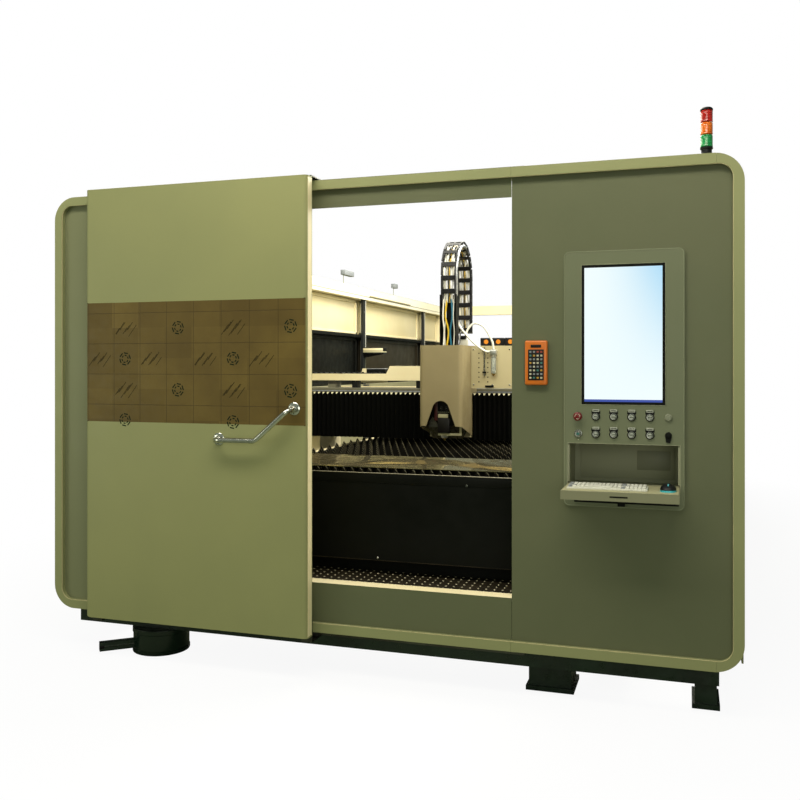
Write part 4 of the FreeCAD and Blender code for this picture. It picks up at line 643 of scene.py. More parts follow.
class Piece:
    """Forms that become one mesh object, which rides on a CAD body."""

    def __init__(self, name: str, *slots: str) -> None:
        self.name = name
        self.slots = list(slots)
        self.mesh = bmesh.new()

    def paint(self, faces: Iterable[bmesh.types.BMFace], slot: str) -> None:
        """Give faces a slot's finish.

        Args:
            faces: faces to paint.
            slot: finish, which is added to the piece when it is new.
        """
        if slot not in self.slots:
            self.slots.append(slot)
        index = self.slots.index(slot)
        for face in faces:
            face.material_index = index

    def block(self, low: Point, high: Point, slot: str, bevel: float = 0.0, steps: int = 2,
              turn: Matrix | None = None) -> None:
        """Add a box between two opposite corners, with its edges rounded off.

        Args:
            low: one corner.
            high: the opposite corner.
            slot: finish.
            bevel: radius of the edges.
            steps: segments across an edge.
            turn: optional matrix that turns the box about its middle.
        """
        low, high = (Vector([pick(pair) for pair in zip(low, high)]) for pick in (min, max))
        size, middle = high - low, (low + high) / 2
        matrix = Matrix.Translation(middle) @ (turn.to_4x4() if turn else Matrix())
        made = bmesh.ops.create_cube(self.mesh, size=1.0, matrix=matrix @ Matrix.Diagonal((*size, 1)))
        faces = {f for v in made["verts"] for f in v.link_faces}
        self.paint(faces, slot)
        if bevel:
            edges = {e for v in made["verts"] for e in v.link_edges}
            result = bmesh.ops.bevel(self.mesh, geom=list(edges), offset=min(bevel, 0.45 * min(size)),
                                     segments=steps, profile=0.5, affect="EDGES", material=-1)
            self.paint(result["faces"], slot)

    def around(self, middle: Point, half: Point, slot: str, bevel: float = 0.0, steps: int = 2,
               turn: Matrix | None = None) -> None:
        """Add a box by its middle.

        Args:
            middle: middle of the box.
            half: half its size along each axis.
            slot, bevel, steps, turn: as for block.
        """
        middle, half = Vector(middle), Vector(half)
        self.block(middle - half, middle + half, slot, bevel, steps, turn)

    def boxes(self, origin: Point, *rows: tuple) -> None:
        """Add boxes that are measured from one point.

        Args:
            origin: the point.
            *rows: X, Y and Z from and to, finish and radius of the edges.
        """
        for x0, x1, y0, y1, z0, z1, slot, bevel in rows:
            low, high = (Vector(origin) + Vector(corner) for corner in ((x0, y0, z0), (x1, y1, z1)))
            self.block(low, high, slot, bevel)

    def strip(self, corners: Sequence[Point], slot: str) -> None:
        """Add one flat face."""
        self.paint([self.mesh.faces.new([self.mesh.verts.new(corner) for corner in corners])], slot)

    def extruded(self, outline: Sequence[Point], way: Point, slot: str) -> None:
        """Add the prism of a flat outline pushed along a vector.

        Args:
            outline: corners of the flat outline.
            way: vector that it is pushed along.
            slot: finish.
        """
        verts = [self.mesh.verts.new(p) for p in outline]
        face = self.mesh.faces.new(verts)
        result = bmesh.ops.extrude_face_region(self.mesh, geom=[face])
        moved = [g for g in result["geom"] if isinstance(g, bmesh.types.BMVert)]
        bmesh.ops.translate(self.mesh, verts=moved, vec=Vector(way))
        faces = {f for v in verts + moved for f in v.link_faces}
        bmesh.ops.recalc_face_normals(self.mesh, faces=list(faces))
        self.paint(faces, slot)

    def loft(self, rings: Sequence[Sequence[Vector]], slot: str) -> None:
        """Extrude a first ring of points through the other rings and close both ends.

        Args:
            rings: rings with the same number of points each.
            slot: finish.
        """
        row = [self.mesh.verts.new(p) for p in rings[0]]
        edges = [self.mesh.edges.new(pair) for pair in zip(row, row[1:] + row[:1])]
        faces = [self.mesh.faces.new(row[::-1])]
        for ring in rings[1:]:
            made = bmesh.ops.extrude_edge_only(self.mesh, edges=edges)["geom"]
            edges = [g for g in made if isinstance(g, bmesh.types.BMEdge)]
            fresh = {g for g in made if isinstance(g, bmesh.types.BMVert)}
            row = [next(e.other_vert(v) for e in v.link_edges if e.other_vert(v) in fresh) for v in row]
            faces += [g for g in made if isinstance(g, bmesh.types.BMFace)]
            for vert, place in zip(row, ring):
                vert.co = place
        faces.append(self.mesh.faces.new(row))
        bmesh.ops.recalc_face_normals(self.mesh, faces=faces)
        self.paint(faces, slot)

    def lathe(self, centre: Point, axis: Axis, profile: Sequence[tuple[float, float]], slot: str,
              sides: int = 24) -> None:
        """Add a turned form, closed at both ends.

        Args:
            centre: origin of the profile.
            axis: axis of the turning.
            profile: (radius, distance along the axis) from one end to the other.
            slot: finish.
            sides: segments round it.
        """
        form, way = bmesh.new(), axis.way
        across = Axis.X.way if axis is Axis.Z else Axis.Z.way
        verts = [form.verts.new(Vector(centre) + way * along + across * radius) for radius, along in profile]
        edges = [form.edges.new(pair) for pair in zip(verts, verts[1:])]
        bmesh.ops.spin(form, geom=verts + edges, cent=centre, axis=way, angle=2 * math.pi, steps=sides,
                       use_merge=True)
        bmesh.ops.holes_fill(form, edges=[e for e in form.edges if e.is_boundary], sides=0)
        bmesh.ops.recalc_face_normals(form, faces=form.faces[:])
        self.paint(form.faces, slot)
        data = bpy.data.meshes.new("turned")
        form.to_mesh(data)
        form.free()
        self.mesh.from_mesh(data)
        bpy.data.meshes.remove(data)

    def tube(self, path: Sequence[Vector], radius: float, slot: str, sides: int = 12,
             radii: Sequence[float] | None = None) -> None:
        """Add a round tube along a path of points.

        Args:
            path: points of its middle line.
            radius: radius of the tube.
            slot: finish.
            sides: segments round it.
            radii: radius at each point, in place of the even one.
        """
        rings, side = [], None
        for k, point in enumerate(path):
            before, after = path[max(k - 1, 0)], path[min(k + 1, len(path) - 1)]
            way = (after - before).normalized()
            if side is None:
                side = way.orthogonal().normalized()
            side = (side - way * side.dot(way)).normalized()
            other = way.cross(side)
            reach = radii[k] if radii else radius
            rings.append([point + (side * math.cos(a) + other * math.sin(a)) * reach
                          for a in (2 * math.pi * j / sides for j in range(sides))])
        self.loft(rings, slot)

    def screw(self, centre: Point, axis: Axis, radius: float, slot: str = "raw_steel",
              way: int = -1) -> None:
        """Add a low domed screw head.

        Args:
            centre: middle of its foot.
            axis: axis that it stands along.
            radius: radius of the head.
            slot: finish.
            way: side that it stands towards, -1 or 1.
        """
        rise = radius * 0.5 * way
        self.lathe(centre, axis, [(radius, 0), (radius, rise * 0.5), (radius * 0.7, rise),
                                  (radius * 0.35, rise), (radius * 0.3, rise * 0.4)], slot, 12)

    def built(self, angle: float = 32.0) -> bpy.types.Object:
        """Turn the collected forms into a scene object.

        Args:
            angle: edges beyond this many degrees stay sharp.

        Returns:
            The new object.
        """
        data = bpy.data.meshes.new(self.name)
        self.mesh.to_mesh(data)
        self.mesh.free()
        for slot in self.slots:
            data.materials.append(material(slot))
        data.shade_smooth()
        data.set_sharp_from_angle(angle=math.radians(angle))
        item = bpy.data.objects.new(self.name, data)
        bpy.context.scene.collection.objects.link(item)
        return item

    def on(self, body: str, *replaced: str, angle: float = 32.0) -> bpy.types.Object:
        """Build the piece and let it ride on a body.

        Args:
            body: CAD body that it moves with.
            *replaced: CAD nodes that it stands for.
            angle: edges beyond this many degrees stay sharp.

        Returns:
            The new object.
        """
        item = self.built(angle)
        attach(item, body)
        self.declare(item, replaced)
        return item

    def declare(self, item: bpy.types.Object, replaced: Sequence[str] = ()) -> None:
        """Hide the CAD nodes that a piece stands for; the record slot of its finish is looked up but not
        kept.

        Args:
            item: object of the piece; not used.
            replaced: CAD nodes that it stands for.
        """
        if replaced:
            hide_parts(*replaced)
        first = self.slots[0]
        shared = {"clear_bowl": "filter_body", **{name: slot for name, (_, slot) in TRIMS.items()}}
        shared.get(first, first)


# ------------------------------------------------------------
# CAD nodes
# ------------------------------------------------------------
#: Bevel width in metres for CAD nodes whose edges are rounded on the real machine.
ROUNDED: dict[str, float] = {
    "front_border": 0.006, "door_shell": 0.005, "console_plate": 0.003, "head_cover": 0.004,
    "keyboard_drawer": 0.003, "base_frame": 0.008, "levelling_feet": 0.006, "cable_trough": 0.002,
    "wall_posts": 0.003, "monitor_bezel": 0.002, "rear_portal": 0.006, "sill_ledge": 0.001,
    "carriage_plate": 0.002, "z_chain_bracket": 0.001, "niche_box": 0.0008, "bed_frame": 0.004,
    "pallet_frame": 0.004, "gantry_beam": 0.002, "stop_button": 0.001, "gas_filter": 0.002,
}


#: Nodes that show a trim of their record slot.
# The cable trough's trim carries painted shade at the tops of its legs.
# The front panel's trim carries painted light that makes it lighter towards its left edge.
# The niche box shows a lighter trim: painted light for the shaded niche.
TRIMMED: dict[str, str] = {
    "console_plate": "console_paint", "wall_posts": "post_dark", "niche_box": "niche_lightened",
    "carriage_plate": "riser_cream", "bed_frame": "bed_paint", "gantry_beam": "beam_paint",
    "tread_plate": "tread_brown", "cable_trough": "trough_paint", "front_panel": "front_paint_lit_left",
    "keyboard_drawer": "drawer_front"}


def dress_nodes(frame: dict) -> None:
    """Give every CAD node its material, and softened edges where the real one has them.
    """
    for entry in frame["record"]["subparts"]:
        item = frame["nodes"][entry["node"]]
        item.data.materials.clear()
        item.data.materials.append(material(TRIMMED.get(entry["node"], entry["material_slot"])))
        width = ROUNDED.get(entry["node"])
        if width:
            bevel = item.modifiers.new("edges", "BEVEL")
            bevel.width, bevel.segments, bevel.limit_method = width, 2, "ANGLE"
            bevel.angle_limit, bevel.harden_normals = math.radians(40), False


# ------------------------------------------------------------
# Door
# ------------------------------------------------------------
@dataclass
class Door:
    """Sliding door: film over the pane, its motifs, the tube handle and edge trims."""

    body: str = "door"
    handle_radius: float = 0.0125
    rosette: float = 0.031
    bend: float = 0.04
    slant: float = -52.0

    def __post_init__(self) -> None:
        self.low, self.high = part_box("door_shell")
        self.pane_low, self.pane_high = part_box("door_window")

    def build(self) -> None:
        """Make every piece of the door."""
        self.film_print()
        self.handle()
        self.trims()

    def film_print(self) -> None:
        """Generic print on the film: rings of bars in some cells, slanted strokes in others."""
        motifs, strokes = Piece("film_motifs", "motif_green"), Piece("film_strokes", "stroke_brown")
        width = (self.pane_high[0] - self.pane_low[0]) / FILM_COLUMNS
        y = self.pane_low[1]
        rng = random.Random(7)
        for column in range(FILM_COLUMNS):
            for row in range(4):
                x = self.pane_low[0] + (column + 0.5) * width
                z = self.pane_low[2] + FILM_START + (row - 0.5) * FILM_ROW
                if (column + 2 * row) % 4 == 1:
                    self.motif(motifs, Vector((x, y, z)), 0.03)
                elif (column + row) % 2 == 0:
                    for k in range(7):
                        length = 0.035 + 0.05 * rng.random()
                        spot = Vector((x - 0.045 + 0.015 * k, y, z + 0.012 * (k % 3) - 0.012))
                        self.stroke(strokes, spot, length)
        motifs.on(self.body)
        strokes.on(self.body)

    @staticmethod
    def motif(piece: Piece, centre: Vector, radius: float) -> None:
        """Two rings of six short bars, as a flat print.

        Args:
            piece: piece that takes the bars.
            centre: middle of the rings.
            radius: radius of the outer ring.
        """
        for k in range(6):
            turn = Matrix.Rotation(math.radians(60 * k + 10), 3, "Y")
            for reach, half in ((radius, 0.012), (radius * 0.6, 0.006)):
                spot = centre + turn @ Vector((0, 0, reach))
                piece.block(spot - Vector((half, 0.0004, 0.003)), spot + Vector((half, 0.0001, 0.003)),
                            "motif_green", turn=turn)

    def stroke(self, piece: Piece, centre: Vector, length: float) -> None:
        """One thin slanted dash of the print, left out near the film's edges.

        Args:
            piece: piece that takes the dash.
            centre: middle of the dash.
            length: length of the dash.
        """
        if self.pane_low[2] + 0.04 < centre.z < self.pane_high[2] - 0.04:
            piece.block(centre - Vector((length / 2, 0.0004, 0.0012)),
                        centre + Vector((length / 2, 0.0001, 0.0012)),
                        "stroke_brown", turn=Matrix.Rotation(math.radians(self.slant), 3, "Y"))

    def handle(self) -> None:
        """Polished tube with smooth bends, two stepped rosettes and their screws."""
        low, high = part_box("door_handle")
        face, out = self.low[1], low[1] + self.handle_radius
        first = Vector((low[0] + self.rosette, face, low[2] + self.rosette))
        last = Vector((high[0] - self.rosette, face, high[2] - self.rosette))
        corners = [first, Vector((first.x, out, first.z)), Vector((first.x + 0.23, out, first.z)),
                   Vector((last.x, out, last.z)), last]
        piece = Piece("handle_tube", "bright_steel")
        piece.tube(rounded_route(corners, self.bend), self.handle_radius, "bright_steel", 20)
        steps = [(self.rosette, 0), (self.rosette, -0.003), (0.026, -0.0065), (0.017, -0.0075),
                 (0.0145, -0.012), (0.0125, -0.014)]
        for end in (first, last):
            piece.lathe((end.x, face, end.z), Axis.Y, steps, "bright_steel", 32)
            for k in range(3):
                turn = 2 * math.pi * (k / 3 + 0.08)
                piece.screw((end.x + 0.022 * math.cos(turn), face - 0.0062, end.z + 0.022 * math.sin(turn)),
                            Axis.Y, 0.003)
        piece.on(self.body, "door_handle", angle=40)

    def trims(self) -> None:
        """Seal along the right edge, pane seams and the screws of the hangers."""
        piece = Piece("door_trims", "seal_black")
        x, front, back = self.high[0], self.low[1], self.high[1]
        piece.block((x - 0.004, back - 0.004, self.low[2] + 0.02), (x - 0.0005, back, self.high[2] - 0.02),
                    "seal_black", 0.001)
        piece.block((x - 0.0006, front + 0.008, self.low[2] + 0.008),
                    (x + 0.0006, back - 0.006, self.high[2] - 0.008), "cream")
        for z in (self.pane_low[2], self.pane_high[2]):
            piece.block((self.pane_low[0] + 0.002, self.pane_low[1] + 0.0005, z - 0.0012),
                        (self.pane_high[0] - 0.0005, self.pane_low[1] + 0.003, z + 0.0012), "seal_black")
        for x in (self.low[0] + 0.03, self.high[0] - 0.03):
            piece.screw((x - 0.02, back - 0.001, self.high[2] + 0.001), Axis.Y, 0.004, "raw_steel", 1)
        piece.on(self.body)


# ------------------------------------------------------------
# Console
# ------------------------------------------------------------
@dataclass
class Console:
    """Operator console: bezel, controls, legend plates, niche, drawer with keyboard and mouse, remote."""

    bead: float = 0.003
    flange: float = 0.0185
    bore: float = 0.0103
    key_gap: float = 0.0012

    def __post_init__(self) -> None:
        self.low, self.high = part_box("console_plate")
        self.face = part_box("monitor_bezel")[0][1]
        self.buttons = [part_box("button_%d" % k) for k in range(1, 9)]

    def build(self) -> None:
        """Make every piece of the console."""
        self.bezel()
        self.controls()
        self.caps()
        self.stop()
        self.niche()
        self.keyboard()
        self.mouse()
        self.remote()

    @staticmethod
    def middle(bounds: Bounds) -> Vector:
        """Middle of a node's box."""
        return (Vector(bounds[0]) + Vector(bounds[1])) / 2

    def bezel(self) -> None:
        """Light bead round the black monitor rim, and the raised bead of the console's own edge."""
        (x0, _, z0), (x1, _, z1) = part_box("monitor_bezel")
        piece, y, bead = Piece("monitor_bead", "console_edge"), self.face, self.bead
        for left, foot, right, top in (
                (x0 - bead, z0 - bead, x1 + bead, z0), (x0 - bead, z1, x1 + bead, z1 + bead),
                (x0 - bead, z0, x0, z1), (x1, z0, x1 + bead, z1)):
            piece.block((left, y - 0.0015, foot), (right, y + 0.001, top), "console_edge", 0.0005)
        piece.on("machine")
        edge = Piece("console_bead", "console_edge")
        edge.tube(outline_route(self.low, self.high, 0.004, 0.022, y), 0.0016, "console_edge", 8)
        edge.on("machine")

    def controls(self) -> None:
        """Turned collars, legend plates with blank fields, and the two caps at the right."""
        rings, plates = Piece("control_rings", "ring_silver"), Piece("legend_plates", "legend_black")
        y, flange, bore = self.face, self.flange, self.bore
        spots = [self.middle(b) for b in self.buttons]
        spots += [self.middle(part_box("stop_button")), self.middle(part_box("key_rotor"))]
        tall = [(0.015, -0.0048), (0.015, -0.0085), (0.0135, -0.010), (0.0105, -0.0098), (bore, -0.004)]
        flat = [(flange, 0), (0.0175, -0.003), (0.0105, -0.003), (bore, -0.0002)]
        stepped = [(flange, 0), (flange, -0.002), (0.0165, -0.0045), *tall]
        for spot, profile in zip(spots, [tall] * 8 + [flat, stepped]):
            rings.lathe((spot.x, y, spot.z), Axis.Y, profile, "ring_silver", 32)
        for spot in spots[:8]:
            origin = (spot.x, y, spot.z)
            plates.lathe(origin, Axis.Y, [(0.0192, 0), (0.0192, -0.0022), (0.0165, -0.005), (0.0149, -0.005)],
                         "legend_black", 32)
            plates.boxes(origin, (-0.0195, 0.0195, -0.0012, 0.0002, 0.0125, 0.0370, "legend_black", 0.0006),
                         (-0.0150, 0.0150, -0.0022, -0.0008, 0.0205, 0.0325, "legend_field", 0.0003),
                         (-0.0110, 0.0110, -0.0024, -0.0018, 0.0250, 0.0278, "legend_black", 0.0002))
        plates.boxes((spots[9].x, y, spots[9].z),
                     (-0.002, 0.002, -0.001, 0.0002, -0.029, -0.025, "stiffener", 0.0003))
        rings.on("machine", "panel_fittings")
        plates.on("machine")
        caps = Piece("port_caps", "rubber_grey")
        right, upper, z = 2 * spots[3].x - spots[2].x, spots[0].z, spots[4].z
        caps.lathe((right, y, upper), Axis.Y, [(0.0165, 0), (0.0165, -0.003), (0.0135, -0.006),
                   (0.013, -0.0095), (0.006, -0.0105), (0.001, -0.0106)], "rubber_grey", 28)
        caps.lathe((right, y, z), Axis.Y, [(0.0150, 0), (0.0150, -0.004), (0.0120, -0.009), (0.004, -0.0104)],
                   "seal_black", 20)
        tongue = ((-0.010, -0.030), (0.008, -0.033), (0.014, -0.006), (-0.013, 0))
        caps.extruded([(right + dx, y, z + dz) for dx, dz in tongue], (0, -0.006, 0), "seal_black")
        caps.on("machine")

    def caps(self) -> None:
        """Domed push-button caps with a small raised bar, each on its own body."""
        for k, bounds in enumerate(self.buttons, 1):
            spot = self.middle(bounds)
            front, back = bounds[0][1], bounds[1][1]
            rise = front - back
            piece = Piece("cap_%d" % k, "button_pale")
            piece.lathe((spot.x, back, spot.z), Axis.Y, [(0.0092, 0), (0.0094, rise + 0.001),
                        (0.0086, rise + 0.0002), (0.004, rise), (0.0005, rise)], "button_pale", 24)
            for shift in (-0.0056, 0.0, 0.0056):
                piece.boxes((spot.x + shift, front, spot.z),
                            (-0.0019, 0.0019, -0.0002, 0.0004, -0.0030, 0.0012, "legend_black", 0))
            piece.on("push_%d" % k, "button_%d" % k)

    def stop(self) -> None:
        """Red mushroom with pale arrows, and the silver key rotor with its slot."""
        low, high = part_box("stop_button")
        spot = self.middle((low, high))
        piece = Piece("stop_mushroom", "stop_red")
        front, deep = low[1], high[1] - low[1]
        piece.lathe((spot.x, front, spot.z), Axis.Y, [
            (0.001, 0.0), (0.012, 0.0004), (0.0165, 0.002), (0.0196, 0.0052), (0.0196, 0.011),
            (0.0165, 0.0138), (0.0096, 0.0140), (0.0096, deep)], "stop_red", 32)
        for k in range(3):
            turn = 2 * math.pi * k / 3
            path = [Vector((spot.x + 0.011 * math.cos(turn + t * 0.22), front + 0.0012,
                            spot.z + 0.011 * math.sin(turn + t * 0.22))) for t in range(7)]
            piece.tube(path, 0.0015, "stiffener", 6)
        piece.on("emergency_stop", "stop_button")
        low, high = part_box("key_rotor")
        spot, front = self.middle((low, high)), low[1]
        deep = front - high[1]
        rotor = Piece("key_core", "ring_silver")
        rotor.lathe((spot.x, high[1], spot.z), Axis.Y, [(0.0088, 0), (0.0088, deep + 0.001), (0.0075, deep),
                    (0.0005, deep)], "ring_silver", 24)
        rotor.lathe((spot.x, front + 0.0004, spot.z), Axis.Y, [(0.0066, 0), (0.0066, -0.0006),
                    (0.0005, -0.0006)], "key_teal", 24)
        rotor.boxes((spot.x, front, spot.z),
                    (-0.0013, 0.0013, -0.0004, 0.002, -0.0055, 0.0055, "seal_black", 0))
        rotor.on("key", "key_rotor")

    def niche(self) -> None:
        """Niche lining in a lighter copy of the console paint, painted light for the shaded niche, with the
        recessed door of the sockets; the drawer's front and top; and a dark strip under the drawer, its
        painted shadow, with a small latch.
        """
        low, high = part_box("niche_box")
        piece = Piece("niche_lining", "niche_lightened")
        y = high[1] - 0.004
        piece.block((low[0] + 0.03, y - 0.004, low[2] + 0.02), (high[0] - 0.03, y, high[2] - 0.025),
                    "niche_lightened", 0.002)
        piece.block((high[0] - 0.198, y - 0.0065, low[2] + 0.062),
                    (high[0] - 0.046, y - 0.003, high[2] - 0.053), "recess_grey", 0.002)
        for x in (low[0] + 0.006, high[0] - 0.006):
            piece.block((x - 0.004, self.face + 0.006, low[2] + 0.03),
                        (x + 0.004, self.face + 0.02, high[2] - 0.004), "niche_lightened", 0.002)
        piece.on("machine")
        latch = Piece("drawer_latch", "seal_black")
        (left, front, foot), (right, back, top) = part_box("keyboard_drawer")
        middle = (left + right) / 2
        latch.boxes((middle, front, foot), (-0.02, 0.014, 0.002, 0.0125, 0.0005, 0.007, "seal_black", 0.001))
        latch.block((left + 0.004, front + 0.016, top - 0.0006), (right - 0.004, back - 0.05, top + 0.0006),
                    "drawer_top", 0.0005)
        latch.boxes((middle, front, top), (-0.085, 0.085, 0.0006, 0.0095, -0.031, -0.015, "drawer_front", 0),
                    (-0.038, 0.036, -0.0004, 0.0020, -0.0225, -0.0160, "seal_black", 0))
        latch.on("drawer")
        # Dark strip just under the drawer on the console face: painted shadow of the drawer; the small block
        # beside it is a latch.
        shadow_and_latch = Piece("drawer_shadow_and_latch", "seal_black")
        under = foot - 0.155 * (self.face - front)
        shadow_and_latch.block((left + 0.03, self.face - 0.006, under - 0.006),
                   (right - 0.004, self.face + 0.001, under + 0.004), "seal_black", 0.001)
        shadow_and_latch.boxes((middle, self.face, under), (-0.022, 0.010, -0.010, 0.001, -0.018, 0, "seal_black", 0.002))
        shadow_and_latch.on("machine")

    def keyboard(self) -> None:
        """Keyboard with rows of separate keys on a thin tray."""
        low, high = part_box("keyboard")
        piece, gap = Piece("keyboard_keys", "key_white"), self.key_gap
        piece.block(low, (high[0], high[1], low[2] + 0.009), "key_white", 0.003)
        rows, count = 6, 19
        wide_keys = {(0, 4): 7, (1, 0): 2, (1, 12): 2, (2, 13): 2}
        step, deep = (high[0] - low[0] - 0.012) / count, (high[1] - low[1] - 0.014) / rows
        for row in range(rows):
            x, y = low[0] + 0.006, low[1] + 0.007 + row * deep
            top = high[2] - 0.001 + 0.0006 * row / rows
            column = 0
            while column < count:
                wide = wide_keys.get((row, column), 1)
                piece.block((x + column * step + gap, y + gap, low[2] + 0.008),
                            (x + (column + wide) * step - gap, y + deep - gap, top),
                            "key_grey" if column in (0, 13) else "key_white", 0.0014, 1)
                column += wide
        piece.on("drawer", "keyboard")

    def mouse(self) -> None:
        """Black mouse with a wheel and a teal band round its foot."""
        low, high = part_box("mouse")
        mid = self.middle((low, high)) + Vector((0.012, 0, 0))
        piece = Piece("mouse_shell", "black_plastic")
        half_x, half_y, tall = 1.15 * (high[0] - low[0]) / 2, (high[1] - low[1]) / 2, high[2] - low[2]
        turns = [2 * math.pi * j / 28 for j in range(28)]

        def swell(share: float) -> float:
            """Bring a share of a circle's radius out towards a rounded square."""
            return math.copysign(abs(share) ** 0.8, share)

        rings = []
        for rise in (k / 8 for k in range(9)):
            shrink = math.sqrt(max(0.0, 1 - (max(0.0, rise - 0.25) / 0.78) ** 2))
            rings.append([Vector((mid.x + half_x * shrink * swell(math.cos(a)),
                                  mid.y + half_y * shrink * swell(math.sin(a)) + 0.006 * rise,
                                  low[2] + tall * rise)) for a in turns])
        piece.loft(rings[:3], "teal")
        piece.loft(rings[2:], "black_plastic")
        piece.lathe((mid.x - 0.003, mid.y - half_y * 0.45, high[2] - 0.006), Axis.X,
                    [(0.002, 0), (0.008, 0.0005), (0.008, 0.0055), (0.002, 0.006)], "teal", 16)
        piece.on("drawer", "mouse", angle=50)

    def remote(self) -> None:
        """Orange hand-held remote: rounded case, black keypad and coloured blank keys."""
        low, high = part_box("remote_control")
        piece = Piece("remote_case", "remote_orange")
        front = low[1] + 0.003
        piece.block((low[0], front, low[2]), high, "remote_orange", 0.009, 4)
        width, tall = high[0] - low[0], high[2] - low[2]
        x0, x1 = low[0] + 0.15 * width, high[0] - 0.15 * width
        z0, z1 = low[2] + 0.11 * tall, low[2] + 0.80 * tall
        piece.block((x0, low[1] + 0.001, z0), (x1, front + 0.002, z1), "key_dark", 0.002)
        piece.block((x0 + 0.012, low[1] + 0.0015, z1 + 0.008), (x1 - 0.012, front + 0.002, z1 + 0.022),
                    "key_dark", 0.002)
        colours = ("stiffener", "key_grey", "key_teal", "stiffener", "key_amber", "key_grey", "stiffener",
                   "key_grey")
        rows, columns, rim = 8, 4, 0.003
        across, down = (x1 - x0 - 2 * rim) / columns, (z1 - z0 - 2 * rim) / rows
        for row in range(rows):
            for column in range(columns):
                x, z = x0 + rim + column * across, z0 + rim + row * down
                red = row == rows - 1 and column > 1
                piece.block((x + 0.0035, low[1], z + 0.0042), (x + across - 0.0035, front, z + down - 0.0042),
                            "key_red" if red else colours[(3 * row + 2 * column) % 8], 0.0012)
        piece.on("machine", "remote_control")


